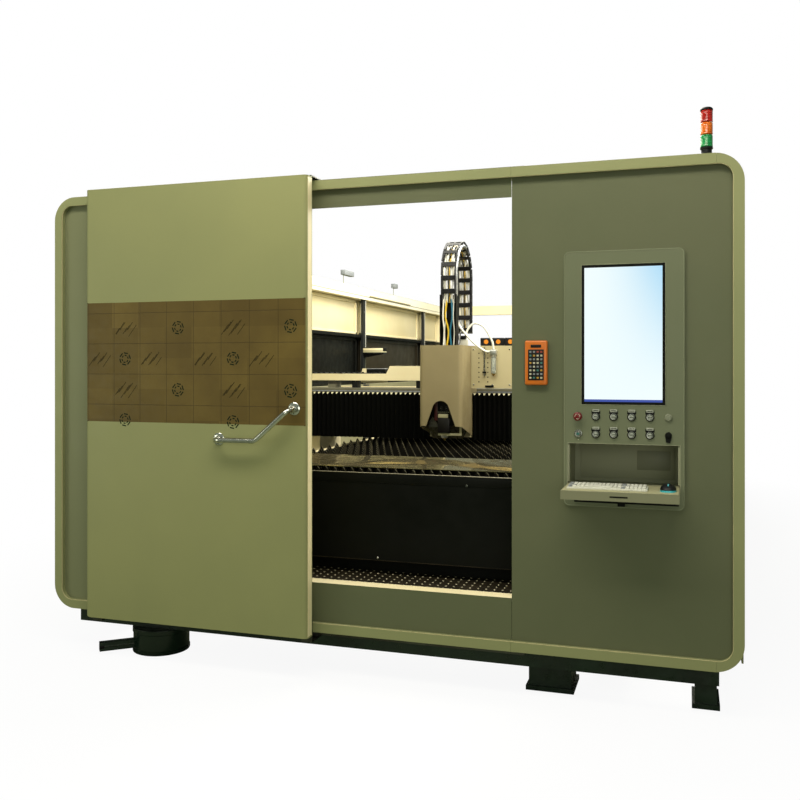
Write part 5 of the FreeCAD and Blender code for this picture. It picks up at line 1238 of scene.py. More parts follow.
# ------------------------------------------------------------
# Gantry
# ------------------------------------------------------------
@dataclass
class Gantry:
    """Bellows, trough chain and the small parts on the beam."""

    fold: float = 0.035
    fold_depth: float = 0.016
    link_pitch: float = 0.09
    link_height: float = 0.062
    run_start: float = -1.225
    run_pitch: float = 0.045
    run_length: float = 0.60
    bracket: tuple[float, float] = (-0.785, -0.632)

    def __post_init__(self) -> None:
        self.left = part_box("bellows_left")
        self.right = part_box("bellows_right")
        self.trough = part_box("cable_trough")

    def build(self) -> None:
        """Make every piece of the gantry."""
        self.bellows("bellows_folds_left", "bellows_left", self.left, self.left[0][0], self.left[1][0])
        self.bellows("bellows_folds_right", "bellows_right", self.right, self.right[1][0], self.right[0][0])
        self.chain()
        self.fixed_run()
        self.beam_parts()

    def bellows(self, name: str, node: str, bounds: Bounds, fixed: float, moving: float) -> None:
        """Folded cloth with pale stiffeners that show as a zigzag along the top edge.

        Args:
            name: name of the piece.
            node: CAD node that it stands for.
            bounds: corners of that node's box.
            fixed: X of the end on the beam; not used.
            moving: X of the end on the carriage; not used.
        """
        low, high = bounds
        count = max(1, round((high[0] - low[0]) / self.fold))
        step = (high[0] - low[0]) / count
        valley, ridge, back = low[1] + self.fold_depth, low[1], high[1]
        top, base, drop = high[2] - 0.001, low[2], self.fold_depth
        piece, cloth = Piece(name, "bellows_cloth"), "bellows_cloth"
        for k in range(count):
            x0, x3 = low[0] + k * step, low[0] + (k + 1) * step
            x1, x2 = x0 + 0.45 * step, x0 + 0.55 * step
            edge = [(x0, valley, top), (x1, ridge, top - drop), (x2, ridge, top - drop), (x3, valley, top)]
            for one, two in zip(edge, edge[1:]):
                piece.strip([(*one[:2], base), (*two[:2], base), two, one], cloth)
            piece.strip(edge, cloth)
            low_y, inset, tip = valley - 0.0155, 0.22 * step, top - drop + 0.0025
            piece.strip([(x0 + inset, low_y + 0.0128, top + 0.0004), (x1, low_y, tip), (x2, low_y, tip),
                         (x3 - inset, low_y + 0.0128, top + 0.0004)], "drawer_top")
            piece.strip([(x0, valley, base), (x0, back, base), (x3, back, base), (x3, valley, base)], cloth)
            piece.strip([(x0, valley, top), (x3, valley, top), (x3, back, top), (x0, back, top)], cloth)
            piece.strip([(x0, back, base), (x0, back, top), (x3, back, top), (x3, back, base)], cloth)
        for x in (low[0], high[0]):
            piece.strip([(x, valley, base), (x, valley, top), (x, back, top), (x, back, base)], cloth)
        item = piece.built()
        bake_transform(item)
        piece.declare(item, (node,))

    def chain(self) -> None:
        """Trough cable chain: links with orange pin caps, bent round at the right end."""
        low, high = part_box("x_chain")
        y0, y1 = low[1], high[1]
        middle, radius = (low[2] + high[2]) / 2, (high[2] - low[2]) / 2 - self.link_height / 2
        turn = high[0] - (high[2] - low[2]) / 2
        straight, bend = turn - low[0], math.pi * radius
        total = 2 * straight + bend
        count = round(total / self.link_pitch)
        piece = Piece("trough_chain", "black_plastic")
        for k in range(count):
            along = (k + 0.5) * total / count
            if along < straight:
                spot, angle = Vector((low[0] + along, 0, middle + radius)), 0.0
            elif along < straight + bend:
                angle = (along - straight) / radius
                spot = Vector((turn + radius * math.sin(angle), 0, middle + radius * math.cos(angle)))
            else:
                spot, angle = Vector((turn - (along - straight - bend), 0, middle - radius)), math.pi
            self.link(piece, spot, angle, total / count, y0, y1)
        item = piece.built()
        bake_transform(item)
        piece.declare(item, ("x_chain",))

    def link(self, piece: Piece, spot: Vector, angle: float, pitch: float, y0: float, y1: float) -> None:
        """One link: two side plates, two cross bars and a round cap on each pin.

        Args:
            piece: piece that takes the link.
            spot: middle of the link, without its Y.
            angle: turn of the link about Y.
            pitch: length of the link.
            y0: front face of the chain.
            y1: back face of the chain.
        """
        turn = Matrix.Rotation(angle, 3, "Y")
        half, rise = pitch / 2 * 0.97, self.link_height / 2
        for y, way in ((y0 + 0.001, 1), (y1 - 0.001, -1)):
            piece.around((spot.x, y + way * 0.006, spot.z), (half, 0.006, rise - 0.002), "black_plastic",
                         0.004, 1, turn)
            cap = [(0.0165, 0.0002 * way), (0.0165, -0.0008 * way), (0.012, -0.001 * way)]
            piece.lathe((spot.x, y, spot.z), Axis.Y, cap, "orange_dot", 16)
        for side in (-1, 1):
            middle = Vector((spot.x, (y0 + y1) / 2, spot.z))
            middle += turn @ Vector((0, 0, side * (rise - 0.006)))
            piece.around(middle, (half * 0.5, (y1 - y0) / 2 - 0.01, 0.004), "black_plastic", 0.002, 1, turn)

    def fixed_run(self) -> None:
        """Fixed chain run in the trough, the box on it and its small cream bracket."""
        low, high = self.trough
        piece = Piece("trough_fixed_run", "black_plastic")
        y0, y1, floor = low[1] + 0.008, high[1] - 0.008, high[2] - TROUGH_HEIGHT + 0.002
        for k in range(int(self.run_length / self.run_pitch)):
            x = self.run_start + self.run_pitch * k
            piece.block((x, y0, floor), (x + 0.041, y1, floor + 0.056), "black_plastic", 0.004, 1)
            piece.block((x + 0.012, y0 - 0.002, floor + 0.040), (x + 0.029, y0 + 0.006, floor + 0.062),
                        "black_plastic", 0.002, 1)
        x0, x1 = self.bracket
        piece.block((x0, y0 + 0.036, floor + 0.05), (x1, y1 - 0.002, floor + 0.086), "seal_black", 0.003)
        piece.block((x0, y0 + 0.030, floor + 0.084), (x1, y1 - 0.002, floor + 0.088), "key_grey", 0.001)
        side = ((-0.039, 0.05), (0.003, 0.05), (0.003, 0.088), (-0.027, 0.088))
        piece.extruded([(x0 + dx, y0 + 0.03, floor + dz) for dx, dz in side], (0, 0.06, 0), "cream")
        piece.on("gantry")

    def beam_parts(self) -> None:
        """Screws, the trough's dark supports and the cream strips on the beam."""
        low, high = self.trough
        details = Piece("beam_details", "raw_steel")
        beam_low, beam_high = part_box("gantry_beam")
        front, back, floor = low[1] + 0.02, high[1] - 0.02, high[2] - TROUGH_HEIGHT + 0.002
        for k in range(11):
            x = -1.1 + 0.22 * k
            for y, z, radius in ((high[1], low[2] + 0.08, 0.006), (beam_high[1], 1.30, 0.009),
                                 (beam_high[1], 1.11, 0.009)):
                details.screw((x, y, z), Axis.Y, radius, "raw_steel", 1)
        for x in (-0.36, -0.87, 0.36, 0.87):
            details.block((x - 0.022, front, beam_high[2]), (x + 0.022, back, floor), "post_dark", 0.002)
        details.block((beam_low[0] + 0.16, beam_high[1] - 0.05, beam_high[2] - 0.001),
                      (beam_high[0] - 0.16, beam_high[1] - 0.001, beam_high[2] + 0.006), "cream", 0.001)
        details.block((self.bracket[0] - 0.034, front, floor - 0.018),
                      (self.bracket[1] + 0.002, back, floor - 0.001), "riser_cream", 0.001)
        _, cloth_back, cloth_top = self.left[1]
        details.block((beam_low[0] + 0.07, cloth_back + 0.002, cloth_top + 0.002),
                      (beam_high[0] - 0.07, cloth_back + 0.05, cloth_top + 0.006), "key_grey", 0.001)
        details.on("gantry")


# ------------------------------------------------------------
# Carriage
# ------------------------------------------------------------
@dataclass
class Carriage:
    """Cutting-head carriage: standing chain, hoses, filter, cover details and the cutting head."""

    chain_inset: float = 0.023
    chain_foot: float = 1.975
    link_pitch: float = 0.09
    cable_radius: float = 0.0056
    loop_radius: float = 0.0075

    def __post_init__(self) -> None:
        self.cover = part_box("head_cover")
        self.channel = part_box("z_chain_bracket")
        self.chain_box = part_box("z_chain")
        self.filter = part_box("gas_filter")
        self.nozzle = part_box("nozzle")
        low, high = self.chain_box
        self.near = low[1] + self.chain_inset
        self.radius = (high[1] - low[1]) / 2 - self.chain_inset
        self.arc_foot = high[2] - self.chain_inset - self.radius
        self.runs = (self.arc_foot - self.chain_foot, math.pi * self.radius, self.arc_foot - low[2])

    def build(self) -> None:
        """Make every piece of the carriage."""
        self.chain()
        self.cables()
        self.hoses()
        self.foil()
        self.bowl()
        self.riser()
        self.shield()
        self.head()

    def chain_point(self, along: float) -> tuple[Vector, float]:
        """Place of the standing chain at a distance along it.

        Args:
            along: distance from its near end.

        Returns:
            The place, without its X, and the turn about X.
        """
        rise, bend, _ = self.runs
        if along < rise:
            return Vector((0, self.near, self.chain_foot + along)), 0.0
        if along < rise + bend:
            angle = (along - rise) / self.radius
            return Vector((0, self.near + self.radius * (1 - math.cos(angle)),
                           self.arc_foot + self.radius * math.sin(angle))), angle
        return Vector((0, self.near + 2 * self.radius, self.arc_foot - (along - rise - bend))), math.pi

    def chain(self) -> None:
        """Standing cable chain: pierced side plates and cross bars."""
        low, high = self.chain_box
        total = sum(self.runs)
        count = round(total / self.link_pitch)
        half = total / count / 2 * 0.98
        middle, reach = (low[0] + high[0]) / 2, (high[0] - low[0]) / 2 - 0.001
        piece, black = Piece("standing_chain", "black_plastic"), "black_plastic"
        for k in range(count):
            spot, angle = self.chain_point((k + 0.5) * total / count)
            turn = Matrix.Rotation(-angle, 3, "X")
            for x, thick in ((low[0] + 0.006, 0.006), (middle, 0.003), (high[0] - 0.006, 0.006)):
                centre = Vector((x, spot.y, spot.z))
                for shift in (-0.017, 0.017):
                    piece.around(centre + turn @ Vector((0, shift, 0)), (thick, 0.006, half), black, 0.002, 1,
                                 turn)
                piece.around(centre, (thick, 0.02, 0.010), black, 0.002, 1, turn)
            for shift in (-0.019, 0.019):
                centre = Vector((middle, spot.y, spot.z)) + turn @ Vector((0, shift, half * 0.72))
                piece.around(centre, (reach, 0.0035, 0.016), black, 0.003, 1, turn)
        piece.on("carriage", "z_chain")

    def cables(self) -> None:
        """Bundled cables that wave a little inside the standing chain."""
        cables = Piece("chain_cables", "hose")
        total = sum(self.runs)
        rng = random.Random(3)
        for k, slot in enumerate(("hose", "edge_light", "hose", "hose_yellow", "hose", "edge_light", "hose")):
            x = self.chain_box[0][0] + 0.018 + 0.012 * k
            path = []
            for j in range(61):
                spot, angle = self.chain_point(total * j / 60)
                side = Matrix.Rotation(-angle, 3, "X") @ Vector((0, 0.010 * math.sin(j * 0.5 + 2 * k), 0))
                path.append(Vector((x + 0.002 * rng.random(), spot.y, spot.z)) + side)
            cables.tube(path, self.cable_radius, slot, 6)
        cables.on("carriage", angle=60)

    def hoses(self) -> None:
        """White, yellow and teal hoses in the channel, the loop to the filter and a slanted white one."""
        piece = Piece("head_tubes", "hose")
        top, y = self.cover[1][2], self.channel[0][1] + 0.022
        x = (self.chain_box[0][0] + self.chain_box[1][0]) / 2
        for shift, sway, slot, radius in (
                (-0.036, 0.004, "hose", 0.006), (-0.012, 0.010, "hose_yellow", 0.006),
                (0.018, -0.008, "hose_teal", 0.006), (0.036, 0.003, "hose", 0.004),
                (-0.024, -0.006, "edge_light", 0.004)):
            at = x + shift
            points = [(at, y, top), (at + sway, y + 0.004, top + 0.10), (at - sway, y - 0.002, top + 0.20),
                      (at, y + 0.006, self.channel[1][2] - 0.03)]
            piece.tube(smooth_path(points), radius, slot, 10)
        f_low, f_high = self.filter
        fx, fy, fz = (f_low[0] + f_high[0]) / 2, (f_low[1] + f_high[1]) / 2, f_high[2]
        loop = [(x + 0.09, fy, top), (x + 0.10, fy, top + 0.10), (x + 0.15, fy + 0.005, top + 0.155),
                (x + 0.22, fy, top + 0.13), (fx - 0.012, fy, fz + 0.06), (fx, fy, fz)]
        slanted = [(x + 0.035, fy - 0.02, top + 0.16), (x + 0.08, fy - 0.02, top + 0.10),
                   (x + 0.16, fy - 0.022, top + 0.015), (x + 0.23, fy - 0.012, fz - 0.012),
                   (fx - 0.018, fy - 0.006, fz - 0.016)]
        for points in (loop, slanted):
            piece.tube(smooth_path(points), self.loop_radius, "hose", 12)
        for k, slot in enumerate(("seal_black", "hose", "key_grey")):
            piece.tube(smooth_path([
                (x + 0.045 + 0.01 * k, fy - 0.01, top), (x + 0.062 - 0.006 * k, fy - 0.03, top + 0.06),
                (x + 0.05 + 0.012 * k, fy - 0.01, top + 0.13), (x + 0.02, fy, top + 0.20)]), 0.0028, slot, 8)
        piece.on("carriage", "head_hoses", angle=60)

    def foil(self) -> None:
        """Foil-wrapped hose over the chain, and the entry box of the cables."""
        foil = Piece("foil_hose", "foil")
        apex = self.chain_box[1][2] - 0.012 - self.radius - 0.02
        side = self.chain_box[1][0] - 0.006
        path = [Vector((side, self.near, 2.02 + 0.03 * k)) for k in range(5)]
        for turn in (math.pi * k / 30 for k in range(18)):
            path.append(Vector((side, self.near + self.radius * (1 - math.cos(turn)),
                                apex + self.radius * math.sin(turn))))
        rng = random.Random(5)
        foil.tube(path, 0.011, "foil", 12, [0.011 + 0.003 * rng.random() for _ in path])
        foil.on("carriage", angle=20)
        base = Piece("cable_entry", "edge_light")
        x = (self.chain_box[0][0] + self.chain_box[1][0]) / 2
        y, top = (self.filter[0][1] + self.filter[1][1]) / 2, self.cover[1][2]
        base.boxes((x, y, top), (0.055, 0.105, -0.02, 0.02, 0, 0.045, "edge_light", 0.004),
                   (0.062, 0.098, -0.028, 0.012, 0.045, 0.07, "seal_black", 0.004))
        base.on("carriage")

    def bowl(self) -> None:
        """Gas filter: cast head, clear ribbed bowl, inner cartridge and brass drain."""
        low, high = self.filter
        x, y = (low[0] + high[0]) / 2, low[1] + 0.022
        piece = Piece("filter_unit", "filter_body")
        piece.block((x - 0.022, y - 0.022, high[2] - 0.04), (x + 0.022, high[1], high[2] - 0.004),
                    "filter_body", 0.004)
        for z, profile, slot, sides in (
                (high[2], [(0.014, -0.006), (0.014, 0.0), (0.010, 0.0)], "filter_body", 16),
                (high[2] - 0.04, [(0.0205, 0.004), (0.0205, -0.012), (0.019, -0.014)], "filter_body", 24),
                (low[2], [(0.004, 0.0), (0.006, 0.006), (0.012, 0.012), (0.012, 0.018)], "brass", 16),
                (low[2] + 0.03, [(0.010, 0), (0.011, 0.004), (0.011, 0.09), (0.009, 0.10)], "hose", 16)):
            piece.lathe((x, y, z), Axis.Z, profile, slot, sides)
        piece.on("carriage", "gas_filter")
        bowl = Piece("filter_bowl_clear", "clear_bowl")
        bowl.lathe((x, y, low[2] + 0.014), Axis.Z,
                   [(0.013, 0), (0.0185, 0.008), (0.0188, 0.12), (0.0188, 0.128)], "clear_bowl", 28)
        bowl.on("carriage")

    def riser(self) -> None:
        """Rows of holes, screws and the pipe on the riser plate beside the cover."""
        piece = Piece("riser_details", "seal_black")
        x, y = self.cover[1][0], self.filter[1][1]
        hole = [(0.0045, 0), (0.0045, -0.0012), (0.003, -0.0012)]
        for shift in (0.055, 0.118):
            for k in range(7):
                piece.lathe((x + shift, y, 1.43 + 0.033 * k), Axis.Y, hole, "seal_black", 10)
        for shift, z in ((0.018, 1.41), (0.018, 1.655), (0.27, 1.41), (0.27, 1.655), (0.15, 1.41)):
            piece.screw((x + shift, y, z), Axis.Y, 0.006, "ring_silver")
        pipe = [Vector((x + 0.095, y - 0.012, z)) for z in (1.47, 1.67)]
        piece.tube(pipe, 0.006, "ring_silver", 12)
        piece.boxes((x, y, 0), (0.083, 0.107, -0.02, 0, 1.49, 1.502, "seal_black", 0.002),
                    (0.083, 0.107, -0.02, 0, 1.64, 1.652, "seal_black", 0.002),
                    (0.10, 0.16, -0.012, -0.001, 1.392, 1.406, "seal_black", 0.002))
        for shift in (0.02, 0.26):
            piece.screw((self.cover[0][0] + shift, self.cover[0][1], 1.66), Axis.Y, 0.004, "beige_cover")
        piece.on("carriage")

    def shield(self) -> None:
        """Brown shield below the cover, with its side piece and screws."""
        shield, slot = Piece("lower_shield", "shield_brown"), "shield_brown"
        left, right, edge = self.cover[0][0] + 0.004, self.cover[1][0] - 0.005, COVER_FOOT + 0.002
        front, y = self.cover[0][1], self.cover[0][1] + 0.17
        outline = ((left, edge), (right, edge), (right, edge - 0.045), (right - 0.03, edge - 0.096),
                   (left + 0.045, edge - 0.096))
        shield.extruded([(x, y, z) for x, z in outline], (0, 0.003, 0), slot)
        side = [(left, front + 0.012, edge), (left, y, edge), (left, y, edge - 0.03)]
        shield.extruded(side, (0.002, 0, 0), slot)
        for shift in (0.10, 0.27):
            shield.screw((self.cover[0][0] + shift, y, edge - 0.05), Axis.Y, 0.004)
        shield.on("carriage")

    def head(self) -> None:
        """What shows in the bell-shaped cut-out: dark shields, red block, white plate, bracket, nozzle."""
        n_low, n_high = self.nozzle
        x, y = (n_low[0] + n_high[0]) / 2, (n_low[1] + n_high[1]) / 2
        foot = COVER_FOOT
        piece = Piece("head_front", "machine_black")
        boxes = [(-0.10, 0.10, -0.062, -0.056, 0.005, 0.23, "machine_black", 0.003),
                 (-0.052, -0.030, -0.072, -0.060, 0.035, 0.165, "head_red", 0.002),
                 (-0.025, 0.044, -0.076, -0.060, 0.054, 0.080, "drawer_top", 0.003)]
        boxes += [(-0.030 + 0.014 * k, -0.020 + 0.014 * k, -0.073, -0.062, 0.090, 0.095, "recess_dark", 0.001)
                  for k in range(6)]
        boxes += [(shift, shift + 0.014, -0.070, -0.060, 0.104, 0.132, "legend_black", 0.002)
                  for shift in (-0.014, 0.024)]
        # The two thin cream strips that form an L below and beside the dark box are a painted reflection of a
        # window frame.
        boxes += [(-0.028, 0.056, -0.080, -0.062, -0.048, 0.050, "head_dark", 0.004),
                  (-0.028, 0.136, -0.066, -0.062, -0.066, -0.050, "drawer_top", 0.001),
                  (0.122, 0.136, -0.066, -0.062, -0.050, -0.004, "drawer_top", 0.001)]
        piece.boxes((x, y, foot), *boxes)
        for shift in (-0.007, 0.031):
            piece.lathe((x + shift, y - 0.070, foot + 0.118), Axis.Y,
                        [(0.003, 0), (0.003, -0.003), (0.002, -0.004)], "recess_dark", 12)
        bracket = ((-0.088, -0.01), (-0.030, -0.01), (-0.030, 0.01), (-0.064, 0.06), (-0.088, 0.03))
        piece.extruded([(x + dx, y - 0.070, foot + dz) for dx, dz in bracket], (0, 0.004, 0), "raw_steel")
        piece.screw((x - 0.07, y - 0.070, foot + 0.02), Axis.Y, 0.006)
        piece.on("z_head")
        tip, tall = Piece("nozzle_tip", "brass"), n_high[2] - n_low[2]
        for rise, profile, slot in (
                (0, [(0.0015, 0), (0.003, 0), (0.008, 0.008), (0.014, 0.014), (0.016, 0.019)], "brass"),
                (0.019, [(0.019, 0), (0.0235, 0.004), (0.025, 0.011), (0.022, 0.014)], "hose"),
                (0.033, [(0.017, 0), (0.017, tall - 0.036)], "head_dark")):
            tip.lathe((x, y, n_low[2] + rise), Axis.Z, profile, slot, 24)
        tip.on("z_head", "nozzle")


# ------------------------------------------------------------
# Pallet and bed
# ------------------------------------------------------------
@dataclass
class Pallet:
    """Slat bed: fine sawtooth slats, slat holders, side covers and wheels."""

    tooth: float = 0.049
    spacing: float = 0.136
    depth: float = 0.055
    thickness: float = 0.003
    tread: float = 0.04

    def __post_init__(self) -> None:
        self.low, self.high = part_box("slats")
        count = round((self.high[1] - self.low[1]) / self.spacing)
        step = (self.high[1] - self.low[1] - 0.005) / count
        self.rows = [self.low[1] + k * step for k in range(count + 1)]
        self.teeth = int((self.high[0] - self.low[0]) / self.tooth)
        self.start = -self.teeth * self.tooth / 2

    def build(self) -> None:
        """Make every piece of the pallet."""
        self.slats()
        self.holders()
        self.wheels()

    def slats(self) -> None:
        """Sawtooth slats with a lighter strip along the cut edge of each tooth: a painted highlight, partly
        the bright worn steel of the edge.
        """
        low, high, root = self.low, self.high, self.high[2] - self.depth
        piece = Piece("sawtooth_slats", "slat_steel")
        for y in self.rows:
            outline = [(high[0], y, low[2]), (low[0], y, low[2]), (low[0], y, root)]
            for j in range(self.teeth):
                x = self.start + j * self.tooth
                peak = x + self.tooth / 2
                outline += [(x + 0.001, y, root), (peak - 0.0015, y, high[2]), (peak + 0.0015, y, high[2]),
                            (peak + 0.013, y, high[2] - 0.012)]
            outline += [(high[0], y, root)]
            piece.extruded(outline, (0, self.thickness, 0), "slat_steel")
            # Light strips on the cut edges: painted highlight, partly the worn steel of the edges.
            front, tip = y - 0.0006, high[2] - 0.0005
            for j in range(self.teeth):
                x = self.start + (j + 0.5) * self.tooth
                route = [(x + 0.001, tip), (x + 0.0125, tip - 0.012), (x + self.tooth / 2, root)]
                for (xa, za), (xb, zb), thick in zip(route, route[1:], (0.0032, 0.0022)):
                    piece.strip([(xa, front, za), (xa - 0.001, front, za - thick),
                                 (xb - 0.001, front, zb - thick), (xb, front, zb)], "edge_highlight")
        piece.on("pallet", "slats", angle=20)

    def holders(self) -> None:
        """Holders at the slats' ends, and the covers of the pallet's sides."""
        low, high = self.low, self.high
        holders = Piece("slat_holders", "machine_black")
        for y in self.rows:
            for x in (low[0] + 0.002, high[0] - 0.022):
                holders.block((x, y - 0.010, low[2] + 0.02), (x + 0.02, y - 0.001, low[2] + 0.085),
                              "machine_black", 0.002, 1)
        holders.on("pallet")
        covers, frame_high = Piece("pallet_side_covers", "cream"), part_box("pallet_frame")[1]
        for x0, x1 in ((-frame_high[0] + 0.001, low[0] - 0.002), (high[0] + 0.002, frame_high[0] - 0.001)):
            covers.block((x0, low[1], frame_high[2] - 0.001), (x1, high[1], frame_high[2] + 0.0025),
                         "riser_cream", 0.001)
        covers.on("pallet")

    def wheels(self) -> None:
        """Turned wheels with a hub, a grooved tread and an axle between them."""
        for end in ("front", "rear"):
            low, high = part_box("wheelset_" + end)
            y, z, inner = (low[1] + high[1]) / 2, (low[2] + high[2]) / 2, high[0] - self.tread
            piece = Piece("rollers_" + end, "raw_steel")
            for side in (-1, 1):
                deep = side * self.tread
                piece.lathe((side * inner, y, z), Axis.X, [
                    (0.018, 0), (0.030, 0.0), (0.032, deep * 0.1), (0.044, deep * 0.12), (0.0495, deep * 0.2),
                    (0.0495, deep * 0.8), (0.044, deep * 0.88), (0.022, deep * 0.9), (0.022, deep),
                    (0.010, deep)], "raw_steel", 32)
            piece.lathe((-inner, y, z), Axis.X, [(0.0145, 0), (0.0145, 2 * inner)], "bright_steel", 20)
            piece.on(end + "_wheelset", "wheelset_" + end)


# ------------------------------------------------------------
# Frame, walls and outside
# ------------------------------------------------------------
@dataclass
class Machine:
    """Everything fixed: wall panels, posts, tread plate studs, bolts, stack light, feet and rear screws."""

    first_post: float = 0.2
    post_pitch: float = 2.2
    stud_pitch: float = 0.041
    stud_rows: int = 7
    lens_radius: float = 0.0262
    cap_radius: float = 0.027
    foot_radius: float = 0.152

    def __post_init__(self) -> None:
        self.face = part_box("front_border")[0][1]
        self.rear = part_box("rear_portal")[1][1]
        self.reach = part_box("side_wall_right")[1][0]
        self.posts_y = [self.face + self.first_post + self.post_pitch * k for k in range(4)]

    def build(self) -> None:
        """Make every fixed piece."""
        self.studs()
        self.bays()
        self.posts()
        self.short_bar()
        self.band()
        self.bed_front()
        self.stack()
        self.feet()
        self.outside()
        self.lips()

    def lips(self) -> None:
        """Pale lip round the inner edge of the front border, a painted highlight of the lit inner edge, and
        the small boxes on top of the left wall.
        """
        low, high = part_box("front_border")
        piece = Piece("border_lip_highlight", "border_edge_highlight")
        piece.tube(outline_route(low, high, 0.0455, 0.0615, low[1] + 0.003), 0.0022, "border_edge_highlight", 8)
        piece.on("machine")
        boxes = Piece("wall_top_boxes", "key_grey")
        for y, length in ((self.face + 4.09, 0.25), (self.face + 5.66, 0.11)):
            boxes.block((-1.715, y, 2.44), (-1.665, y + length, 2.49), "key_grey", 0.004)
            boxes.block((-1.695, y + 0.02, 2.349), (-1.690, y + 0.026, 2.441), "wall_white", 0.001, 1)
        boxes.on("machine")

    def studs(self) -> None:
        """Raised studs of the anti-slip tread plate."""
        low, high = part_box("tread_plate")
        piece = Piece("tread_studs", "stud_bright")
        pitch_y = (high[1] - low[1] - 0.03) / (self.stud_rows - 1)
        for row in range(self.stud_rows):
            y = low[1] + 0.014 + row * pitch_y
            for k in range(int((high[0] - low[0]) / self.stud_pitch) - 1):
                piece.lathe((low[0] + 0.02 + k * self.stud_pitch, y, high[2]), Axis.Z,
                            [(0.0062, 0), (0.0050, 0.0026), (0.0020, 0.0036)], "stud_bright", 8)
        piece.on("machine", angle=60)

    def bays(self) -> None:
        """Folded panels in the bays of both side walls: cream above the ledge, black below it."""
        ends = [*self.posts_y, self.rear - 0.1]
        cream, black = Piece("bay_panels_cream", "cream"), Piece("bay_panels_black", "machine_black")
        for side in (-1, 1):
            skin = side * (self.reach - 0.008)
            inner, rim = skin - side * 0.018, skin - side * 0.030
            for y0, y1 in zip(ends, ends[1:]):
                start, end = y0 + 0.09, y1 - 0.012
                dark = "bay_brown" if y0 > self.face + 4 else "machine_black"
                for z0, z1, piece, slot in ((1.872, 2.222, cream, "cream"), (1.362, 1.832, black, dark)):
                    piece.block((skin, start, z0), (inner, end, z1), slot, 0.004)
                    for a, b, c, d in ((start, start + 0.03, z0, z1), (end - 0.03, end, z0, z1),
                                       (start, end, z0, z0 + 0.02), (start, end, z1 - 0.03, z1)):
                        piece.block((inner, a, c), (rim, b, d), slot, 0.002, 1)
        cream.on("machine")
        black.on("machine")

    def posts(self) -> None:
        """Light edge strips and screws of the posts, their dark lower parts and the dark ledge strip."""
        piece = Piece("post_strips", "edge_light")
        for y in self.posts_y:
            for side in (-1, 1):
                inner, low_face = side * (self.reach - 0.105), side * (self.reach - 0.125)
                for z0, z1, slot in ((1.36, 1.735, "recess_dark"), (1.735, 2.22, "edge_light")):
                    piece.block((inner, y + 0.064, z0), (inner - side * 0.003, y + 0.078, z1), slot, 0.001)
                piece.block((low_face, y - 0.05, 0.26), (low_face - side * 0.004, y + 0.12, 1.349),
                            "post_dark", 0.001)
                for z in (1.9, 2.1):
                    piece.screw((inner, y + 0.03, z), Axis.X, 0.007, "ring_silver", -side)
        for side in (-1, 1):
            ledge = side * (self.reach - 0.08)
            piece.block((ledge, self.face + 0.1, 1.836), (ledge - side * 0.004, self.rear - 0.11, 1.864),
                        "seal_black", 0.001)
        piece.on("machine")

    def short_bar(self) -> None:
        """Sleeve of the short bar on the second post: stacked strips that paint the light and shade across
        it, a dark end, and a dark triangle below that is the bar's painted shadow on the wall.
        """
        bar = Piece("bar_sleeve", "cream")
        x0, x1, y0, y1 = 0.105 - self.reach, 0.331 - self.reach, self.face + 4.599, self.face + 4.691
        # Painted light and shade: the cream tones and the brown top line copy the light and shade across the
        # channel, and the black bottom strip is a painted shadow.
        for z0, z1, length, slot in ((1.661, 1.680, 0.008, "seal_black"), (1.680, 1.692, 0.0, "drawer_top"),
                                     (1.692, 1.706, 0.010, "riser_cream"), (1.706, 1.724, 0.010, "cream"),
                                     (1.724, 1.733, 0.012, "bay_brown")):
            bar.block((x0, y0, z0), (x1 - length, y1, z1), slot, 0.001)
        bar.block((x1 - 0.010, y0 + 0.001, 1.690), (x1, y1, 1.726), "seal_black", 0.001)
        # Painted shadow of the bar on the wall, as a dark triangle.
        bar_shadow_triangle = [(x0, y0 + 0.02, 1.662), (x1 - 0.012, y0 + 0.02, 1.662), (x0, y0 + 0.02, 1.625)]
        bar.extruded(bar_shadow_triangle, (0, 0.004, 0), "seal_black")
        bar.on("machine")

    def band(self) -> None:
        """Fixtures on the top band of both walls and the dark line under it."""
        band = Piece("band_fixtures", "edge_light")
        for side in (-1, 1):
            inner = side * (self.reach - 0.12)
            for y, length, z0, z1, slot in (
                    (1.2, 0.14, 2.29, 2.315, "key_grey"), (3.1, 0.12, 2.29, 2.315, "key_grey"),
                    (4.75, 1.44, 2.270, 2.282, "riser_cream")):
                band.block((inner, self.face + y, z0), (inner - side * 0.01, self.face + y + length, z1),
                           slot, 0.003)
            band.block((inner, self.face + 0.1, 2.262), (inner - side * 0.002, self.rear - 0.11, 2.266),
                       "recess_dark")
        band.on("machine")

    def bed_front(self) -> None:
        """Seams and bolts on the black front plate of the bed, and the front bar below the sheet."""
        y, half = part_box("bed_frame")[0][1], 1.27
        piece = Piece("bed_front_details", "seal_black")
        piece.boxes((0, y, 0), (-half, half, -0.002, 0.001, 0.5185, 0.5225, "tread_brown", 0.0005))
        for x in (-1.02, -0.01, 1.0):
            piece.screw((x, y, 0.532), Axis.Y, 0.007, "ring_silver")
        # The thin light strip along the top edge of the front bar is a painted highlight.
        piece.boxes((0, y, 0), (-half, half, -0.004, 0.0055, 0.926, 0.978, "machine_black", 0.002),
                    (-half, half, -0.0042, 0.0057, 0.9765, 0.9790, "edge_highlight", 0.0005))
        piece.screw((0.47, y - 0.004, 0.93), Axis.Y, 0.006, "ring_silver")
        piece.on("machine")

